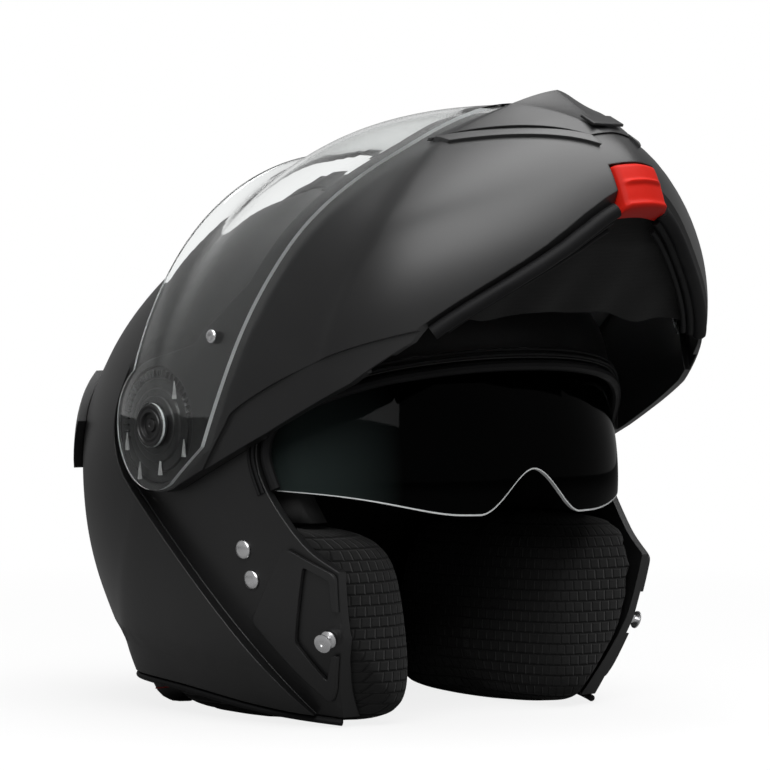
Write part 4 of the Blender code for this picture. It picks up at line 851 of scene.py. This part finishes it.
for word, hand in both_sides:
    carve(chin, slab("plate_pocket", circle(plate_room, 72), hand * arm_floor, hand * side_far))
    carve(chin, side_slab("pin_bore", circle(axle_room, 40), hand))
    head, out = panel_point(hand, *pin_spot, running_gap + pin_length)
    head_angle, head_distance = math.atan2(head.z, -head.y), math.hypot(head.y, head.z)
    groove_start, groove_end = head_angle + groove_ahead, head_angle - groove_behind
    pin_groove = side_slab("pin_groove", arc(head_distance - groove_inside, groove_start, groove_end, 8)
                           + arc(head_distance + groove_outside, groove_end, groove_start, 8), hand)
    carve(pin_groove, skin_layer("groove_floor", groove_wall), "INTERSECT")
    carve(chin, pin_groove)
    pin_room = ((-pin_room_depth, 0), (-pin_room_depth, groove_outside), (running_gap, groove_outside),
                (running_gap, 0))
    carve(chin, turned("pin_room", pin_room, head, out))
fit(chin, raised, "chin_bar", black_paint, ["chin_bar"])


# Chin bar liner: a foam strip in brushed knit, glued inside the chin bar between its edges. It cushions the chin, and
# the release button's notch runs through it.
lining_line = ((0.124, -0.1255), (0.147, -0.1340), (0.200, -0.1345), (0.200, -0.0640), (0.124, -0.0600))
lining_inner = 0.0121
chin_lining = slice_across("chin_lining", lining_line)
carve(chin_lining, skin_layer("lining_seat", chin_wall + seat_gap, chin_side_wall + seat_gap), "INTERSECT")
carve(chin_lining, skin_layer("lining_face", lining_inner))
carve(chin_lining, notch())
soften(chin_lining, 0.002, 3)
fit(chin_lining, raised, "chin_bar", brushed_knit, ["chin_bar_liner"], 40)


# Chin edge trims: a broad rubber edging on each half of the lower edge, from the button to the arm, with two
# ridges along it.
edging = shifted(curved(chin_bottom, 6), -0.0026)
edging_rows = ((0.0036, 0.0036, 0.0), (0.0078, 0.0022, 0.0012), (0.0112, 0.0014, 0.0016))
edging_stop = 0.0147
for word, hand in both_sides:
    edging_bands = []
    for inset, radius, shift in edging_rows:
        half = edge_path(shifted(edging, shift), inset, 48, skin_across, edging_stop)
        edging_bands.append(([Vector((hand * p.x, p.y, p.z)) for p in half], radius))
    edge_trim = banded(f"chin_edging_{word}", edging_bands)
    fit(edge_trim, raised, "chin_bar", trim_rubber, [f"chin_edge_trim_{word}"], 60)


# Chin curtain: a limp cloth flap sewn along the chin bar's lower edge, with a wavy free edge, that keeps wind
# from the wearer's neck.
curtain_rear, curtain_front = 0.103, 0.200
curtain_half = skin_across(curtain_rear, -0.1195, chin_wall, chin_side_wall) - 0.003
curtain_thickness = 0.0014


def curtain_place(u, v, lift):
    across = mix(-curtain_half, curtain_half, u)
    rear = curtain_rear + 0.005 * (1 - ease(abs(across) / 0.057)) + 0.0012 * math.sin(u * 23)
    forward = mix(rear, curtain_front, v)
    up = max(-0.1235 - 0.375 * (forward - 0.099), -0.1415) + 0.0040
    sag = 0.0010 * math.sin(u * 31) * (1 - v) ** 2
    return at(across, forward, up + lift + sag)


curtain_cloth = fabric("curtain_cloth", (0.012, 0.012, 0.012), (0.018, 0.018, 0.018), 520.0, 0.4)
curtain = sheet_solid("wind_curtain", curtain_place, 0.0, curtain_thickness, 90, 40)
carve(curtain, skin_layer("curtain_room", chin_wall + 0.0004, chin_side_wall + 0.0004), "INTERSECT")
carve(curtain, notch())
fit(curtain, raised, "chin_bar", curtain_cloth, ["chin_curtain"], 60)


# Latch catches: pressed steel forks inside the chin bar's arms that close round the striker pins' necks. The CAD
# shape is right, so only its edges are broken.
for word, hand in both_sides:
    cad_piece(f"latch_fork_{word}", f"latch_catch_{word}", "chin_bar", polished_steel, edge=0.0002)


# Release button: a red satin cap in the middle of the chin bar's lower edge, with a thumb ridge across its
# middle and a rolled lower lip. It presses inwards against a spring.
button_lift = 0.0016


def on_skin(across, angle, lift=0.0):
    low, high = 0.0, 1.0
    for _ in range(40):
        share = (low + high) / 2
        if bulge(share, half_width + lift, skin_fullness(angle, share)) > abs(across):
            low = share
        else:
            high = share
    distance = (skin_radius(angle) + lift) * share
    return at(across, distance * math.cos(angle), distance * math.sin(angle))


def button_place(u, v, lift):
    across = mix(-button_half, button_half, u)
    angle = mix(button_low, button_high, v)
    if lift > 0:
        ridge = 0.0013 * math.exp(-((v - 0.56) / 0.045) ** 2) * ease(min(u, 1 - u) * 5)
        lip = 0.0009 * math.exp(-((v - 0.06) / 0.07) ** 2)
        fall = 0.0016 * max(0.0, (abs(2 * u - 1) - 0.82) / 0.18) ** 2
        fall += 0.0014 * max(0.0, (abs(2 * v - 1) - 0.80) / 0.20) ** 2
        lift += ridge + lip - fall
    return on_skin(across, angle, lift)


red_satin = finish("red_satin_plastic", (0.47, 0.011, 0.005), (0.54, 0.014, 0.007), (0.42, 0.52),
                   cloud=40.0, grain=2200.0, depth=0.06, shine=0.12)
button = sheet_solid("release_cap", button_place, -button_depth, button_lift, 56, 44)
fit(button, raised, "release_button", red_satin, ["release_button"], 45)


# Hinge pins, pivot plates and visor hubs: the steel pin that the arm turns on, the ratchet plate screwed over it, and
# the quick-release hub that holds the visor. The plate's ribs and clips show through the visor; the clips are black
# plastic painted light grey, a painted highlight for their glints.
# Light grey on the black clips: a painted highlight standing in for their glints.
clip_painted_glint = finish("clip_painted_glint_grey", (0.30, 0.30, 0.30), (0.40, 0.40, 0.40), (0.25, 0.35),
                   cloud=200.0, grain=2400.0, depth=0.05)
clip_places = ((-0.0129, -0.0218), (0.0025, -0.0195), (0.0203, -0.0105), (-0.0225, -0.0081), (0.0132, 0.0168))
lowered = Matrix.Rotation(raise_angle, 4, "X")
ratchet_base = arm_floor + seat_gap
ratchet_profile = (
    (0, 0), (0, 0.0272), (0.0010, 0.0275), (0.0013, 0.0268), (0.0013, 0.0225), (0.0022, 0.0222), (0.0025, 0.0216),
    (0.0025, 0.0178), (0.0034, 0.0174), (0.0037, 0.0168), (0.0037, 0.0142), (0.0045, 0.0137), (0.0045, 0.0108),
    (0.0038, 0.0106), (0.0038, 0))
tooth_count, tooth_start, tooth_pitch, tooth_ring = 26, math.radians(-60), math.radians(7.5), 0.0246
tooth_size = Matrix.Diagonal((0.0016, 0.0034, 0.0009, 1))
clip_size = Matrix.Diagonal((0.7, 1, 1, 1))
hub_base = ratchet_base + 0.0045 + seat_gap
stem = half_width + 0.0043 + seat_gap - hub_base
hub_profile = (
    (0, 0), (0, 0.0100), (stem - 0.0004, 0.0100), (stem, 0.0096), (stem, 0.0088), (stem - 0.0006, 0.0084),
    (stem - 0.0006, 0.0076), (stem, 0.0072), (stem, 0.0062), (0.55 * stem, 0.0056), (0.55 * stem, 0.0034),
    (0.8 * stem, 0.0030), (0.8 * stem, 0.0012), (0.7 * stem, 0.0010), (0.7 * stem, 0))
for word, hand in both_sides:
    cad_piece(f"arm_axle_{word}", f"hinge_pin_{word}", "shell", polished_steel)
    ratchet = turned(f"ratchet_plate_{word}", ratchet_profile, at(hand * ratchet_base, 0, 0), (hand, 0, 0), 96)
    bm = bmesh.new()
    bm.from_mesh(ratchet.data)
    for tooth in range(tooth_count):
        angle = tooth_start + tooth * tooth_pitch
        made = bmesh.ops.create_cube(bm, size=1.0)["verts"]
        spot = at(hand * (ratchet_base + 0.0021), tooth_ring * math.cos(angle), tooth_ring * math.sin(angle))
        turn = Matrix.Rotation(-angle, 4, "X")
        bmesh.ops.transform(bm, matrix=Matrix.Translation(spot) @ turn @ tooth_size, verts=made)
    for forward, up in clip_places:
        made = bmesh.ops.create_cone(bm, cap_ends=True, segments=4, radius1=0.0019, radius2=0.0004,
                                     depth=0.0085)["verts"]
        spot = at(hand * (ratchet_base + 0.0032), forward, up)
        bmesh.ops.transform(bm, matrix=lowered @ Matrix.Translation(spot) @ clip_size, verts=made)
        for face in {face for vert in made for face in vert.link_faces}:
            face.material_index = 1
    bm.to_mesh(ratchet.data)
    bm.free()
    soften(ratchet, 0.00025)
    fit(ratchet, raised, "chin_bar", moulded_black, [f"pivot_plate_{word}"])
    ratchet.data.materials.append(clip_painted_glint)
    hub = turned(f"release_hub_{word}", hub_profile, at(hand * hub_base, 0, 0), (hand, 0, 0), 72)
    fit(hub, raised, "chin_bar", moulded_black, [f"visor_hub_{word}"])


# Visor: a clear, hard-coated polycarbonate shield with polished edges that turns on the hubs, with a round lobe over
# each hub. Its cut edges are painted light grey, a painted highlight for the bright lines along them. Two small steel
# pins on it take the seal insert.
visor_outer, visor_inner = 0.0043, 0.0021
lobe_radius, hub_hole = 0.031, 0.0106
visor_low = ((0.0055, -0.039), (0.033, -0.0405), (0.081, -0.0445), (0.145, -0.0535), (0.172, -0.055),
             (0.215, -0.046))
visor_high = ((0.215, 0.064), (0.128, 0.0495), (0.064, 0.035), (0.024, 0.027))
clear = see_through("clear_polycarbonate", {"Base Color": (0.93, 0.945, 0.94, 1), "Transmission Weight": 1.0,
                                            "IOR": 1.3}, haze_scale=45.0, gloss=(0.0, 0.015))
visor_line = arc(lobe_radius, math.radians(55), math.radians(229), 40) + curved(visor_low, 8) + list(visor_high)
shield = skin_layer("visor_shield", -visor_outer, None, 220, 110)
carve(shield, skin_layer("visor_hollow", -visor_inner, None, 220, 110))
carve(shield, slice_across("visor_outline", visor_line), "INTERSECT")
for word, hand in both_sides:
    carve(shield, side_slab("hub_hole", circle(hub_hole, 56), hand))
fit(shield, raised, "visor", clear, ["visor"])
shield.data.materials.append(finish("shield_edge_painted_highlight", (0.74, 0.77, 0.77), (0.82, 0.85, 0.85), (0.20, 0.30),
                                    cloud=120.0, grain=2500.0, depth=0.04))
# The cut edge faces take the light grey painted highlight.
for face in shield.data.polygons:
    face.material_index = int(abs(face.normal.x) < 1e-4 and abs(face.center.x) > 0.002)
stud_spot = (0.056, -0.026)
stud_base = skin_across(*stud_spot, -visor_outer) + running_gap
stud_profile = ((0, 0), (0, 0.0032), (0.0007, 0.0032), (0.0011, 0.0029), (0.0014, 0.0019), (0.0012, 0.0012),
                (0.0012, 0))
for word, hand in both_sides:
    stud = turned(f"seal_stud_{word}", stud_profile, at(hand * stud_base, *stud_spot), (hand, 0, 0), 36)
    fit(stud, raised, "visor", polished_steel, [f"visor_lock_pin_{word}"], 40)


# Chin vent: a moulded black hood over the chin bar's intake, folded to a ridge, with satin inserts along its lower
# sides and a thumb slide in its mouth. The inserts are coloured lighter than the black paint they share, painted light
# for the light they catch.
vent_low, vent_peak, vent_high = math.radians(-31), math.radians(-20.5), math.radians(-18.3)
vent_wide = math.radians(-19.1)
vent_mouth = math.radians(-29)
vent_narrow_half, vent_wide_half = 0.013, 0.054
vent_height, scoop_depth = 0.0095, 0.0030
bond = 0.0008


def vent_half(angle):
    return mix(vent_narrow_half, vent_wide_half, min((angle - vent_low) / (vent_wide - vent_low), 1.0))


def vent_place(u, v, raised_share):
    angle = mix(vent_low, vent_high, v)
    across = vent_half(angle) * (2 * u - 1)
    peak = (vent_peak - vent_low) / (vent_high - vent_low)
    ridge = max(0.0, 1 - abs(across) / vent_wide_half) * min(v / peak, (1 - v) / (1 - peak))
    rise = min(v / peak, 1.0)
    scoop = scoop_depth * max(0.0, 1 - (across / (0.006 + 0.018 * rise)) ** 2) * 4 * rise * (1 - rise)
    return on_skin(across, angle, mix(-bond, bond + max(vent_height * ridge - scoop, 0.0), raised_share))


def skin_box(name, angle, back, front, low, high, half):
    """A block on the skin in the middle plane, along it and off it."""
    step = math.radians(0.5)
    base = on_skin(0.0, angle)
    along = (on_skin(0.0, angle + step) - on_skin(0.0, angle - step)).normalized()
    off = along.cross(Vector((1, 0, 0))).normalized()
    off *= math.copysign(1.0, off.dot(base))
    corners = [base + along * a + off * b for a, b in ((back, low), (front, low), (front, high), (back, high))]
    return slab(name, [(-c.y, c.z) for c in corners], -half, half)


hood = sheet_solid("vent_hood", vent_place, 0, 1, 72, 40)
carve(hood, skin_box("mouth", vent_mouth, back=-0.015, front=0.0056, low=0.0012, high=0.0141, half=0.0104))
fit(hood, raised, "chin_bar", moulded_black, ["chin_vent_cover"], 25)


def insert_place(u, v, hand, lift):
    angle = mix(vent_low, vent_wide, u)
    down = math.radians(0.25) + math.radians(2.6) * v * mix(0.7, 1.0, u)
    return on_skin(hand * vent_half(angle), angle - down, lift)


# Black satin coloured lighter than the paint: painted light for the light the inserts catch.
vent_insert_painted_lighter = finish("vent_insert_painted_lighter", (0.022, 0.022, 0.0225), (0.030, 0.030, 0.0305), (0.34, 0.42),
                      cloud=30.0, grain=2400.0, depth=0.06, edge=0.0006, shine=0.62)
insert_height = 0.0016
for word, hand in both_sides:
    insert = sheet_solid(f"vent_fin_{word}", lambda u, v, lift: insert_place(u, v, hand, lift), -bond, insert_height,
                         40, 8)
    fit(insert, raised, "chin_bar", vent_insert_painted_lighter, [f"chin_vent_insert_{word}"])
slide = skin_box("vent_slide", vent_mouth, back=-0.005, front=0.005, low=0.0015, high=0.0030, half=0.0098)
soften(slide, 0.0005, 3)
fit(slide, raised, "chin_vent_slider", moulded_black, ["chin_vent_slider"])


# Crown vent: a long moulded hump on top with a slide in it, and the rear vent, a low hood over the exhaust with
# two slots. Both are bonded to the shell.
hump_front, hump_back, slot_angle = math.radians(70), math.radians(122), math.radians(100)
hump_half, hump_height = 0.030, 0.0062
rear_front, exhaust_height, exhaust_half = -0.088, 0.006, 0.042


def crown_place(u, v, raised_share):
    angle = mix(hump_front, hump_back, v)
    across = hump_half * (2 * u - 1) * (0.55 + 0.45 * math.sin(math.pi * v))
    ridge = (1 - abs(2 * u - 1) ** 2.5) * math.sin(math.pi * min(v * 1.1, 1.0)) ** 0.8
    return on_skin(across, angle, mix(-bond, bond + hump_height * ridge, raised_share))


hump = sheet_solid("crown_hump", crown_place, 0, 1, 48, 56)
carve(hump, skin_box("hump_slot", slot_angle, back=-0.0081, front=0.0161, low=0.0022, high=0.0177, half=0.0080))
fit(hump, worn, "shell", moulded_black, ["crown_vent_cover"])
crown_slide = skin_box("crown_slide", slot_angle, back=-0.0075, front=0.0075, low=0.0025, high=0.0082, half=0.0074)
soften(crown_slide, 0.0006, 3)
fit(crown_slide, worn, "crown_vent_slider", moulded_black, ["crown_vent_slider"])
rear_line = ((rear_front, 0.0), (-0.108, 0.025), (-far_out, 0.025), (-far_out, -0.024), (-0.108, -0.024))
rear_hood = slice_across("rear_hood", rear_line)
carve(rear_hood, skin_layer("rear_top", -0.0048), "INTERSECT")
carve(rear_hood, skin_layer("rear_seat", -seat_gap))
for up in (-0.013, 0.008):
    exhaust = ((-far_out, up), (rear_front, up), (rear_front, up + exhaust_height), (-far_out, up + exhaust_height))
    carve(rear_hood, slab("exhaust", exhaust, -exhaust_half, exhaust_half))
fit(rear_hood, worn, "shell", moulded_black, ["rear_vent"])


# Studio: a pale floor that runs out to white, a white surround that glossy pieces see dimmed, a large soft box above
# and one in front of the wearer's right, and the camera where the photo was taken from.
mirrored_white = 0.24
photo_pixels, focal_pixels, sensor_mm = 770, 3475, 36.0
bm = bmesh.new()
bmesh.ops.create_grid(bm, x_segments=1, y_segments=1, size=6.0)
floor = solid("studio_floor", bm)
floor.location = (0, 0, -0.0002)
floor_white, floor_tree, floor_shader = material("studio_white")
feed(floor_tree, floor_shader, {"Base Color": (0.85, 0.85, 0.85, 1), "Roughness": 0.9})
floor_glow = node(floor_tree, "Emission", {"Color": (1, 1, 1, 1)})
floor_dim = node(floor_tree, "BsdfDiffuse", {"Color": (0.20, 0.20, 0.20, 1)})
floor_place = node(floor_tree, "TexCoord").outputs["Object"]
floor_reach = node(floor_tree, "VectorMath", {0: floor_place}, operation="LENGTH")
floor_fade = node(floor_tree, "MapRange", {"From Min": 0.25, "From Max": 1.1, "To Min": 0.84, "To Max": 1.0,
                                           "Value": floor_reach.outputs["Value"]})
floor_pale = node(floor_tree, "MixShader", {"Fac": floor_fade, 1: floor_shader, 2: floor_glow})
floor_rays = node(floor_tree, "LightPath")
floor_seen = node(floor_tree, "MixShader", {"Fac": floor_rays.outputs["Is Camera Ray"], 1: floor_dim, 2: floor_pale})
feed(floor_tree, floor_tree.nodes["Material Output"], {"Surface": floor_seen})
floor.data.materials.append(floor_white)

world = bpy.data.worlds.new("studio")
world.use_nodes = True
bpy.context.scene.world = world
sky_tree = world.node_tree
dim = sky_tree.nodes["Background"]
feed(sky_tree, dim, {"Color": (1, 1, 1, 1), "Strength": 0.06})
white = node(sky_tree, "Background", {"Color": (1, 1, 1, 1), "Strength": 1.0})
rays = node(sky_tree, "LightPath")
seen_direct = node(sky_tree, "Math", {0: rays.outputs["Is Camera Ray"], 1: rays.outputs["Is Transmission Ray"]},
                   operation="MAXIMUM")
mirrored_ray = node(sky_tree, "Math", {0: rays.outputs["Glossy Depth"], 1: 0.5}, operation="GREATER_THAN")
through_visor = node(sky_tree, "Math", {0: rays.outputs["Transmission Depth"], 1: 2.0, 2: 1.2}, operation="COMPARE")
clear_bounce = node(sky_tree, "Math", {0: through_visor, 1: rays.outputs["Is Transmission Ray"]}, operation="MULTIPLY")
dimmed_ray = node(sky_tree, "Math", {0: mirrored_ray, 1: clear_bounce}, operation="SUBTRACT", use_clamp=True)
seen_white = node(sky_tree, "Mix", {"Factor": dimmed_ray, "A": seen_direct, "B": mirrored_white})
sky = node(sky_tree, "MixShader", {"Fac": seen_white.outputs["Result"], 1: dim, 2: white})
feed(sky_tree, sky_tree.nodes["World Output"], {"Surface": sky})


def soft_box(name, spot, size, power):
    light = bpy.data.lights.new(name, "AREA")
    light.shape = "RECTANGLE"
    light.size, light.size_y = size
    light.energy = power
    lamp = bpy.data.objects.new(name, light)
    bpy.context.scene.collection.objects.link(lamp)
    lamp.location = spot
    aim = Vector((0, -0.02, 0.15)) - Vector(spot)
    lamp.rotation_euler = aim.to_track_quat("-Z", "Y").to_euler()


soft_box("top_box", (0.15, -0.34, 1.60), (1.6, 1.75), 36.0)
soft_box("front_box", (-1.00, -0.95, 1.20), (1.3, 1.0), 18.0)
camera_data = bpy.data.cameras.new("photo_camera")
camera_data.sensor_width = sensor_mm
camera_data.lens = focal_pixels / photo_pixels * sensor_mm
camera = bpy.data.objects.new("photo_camera", camera_data)
bpy.context.scene.collection.objects.link(camera)
camera.location = (-1.1504, hinge.y - 1.3015, hinge.z + 0.0405)
camera.rotation_euler = (math.radians(90 - 0.742), 0, math.radians(-42))
bpy.context.scene.camera = camera
bpy.context.scene.view_settings.view_transform = "Standard"
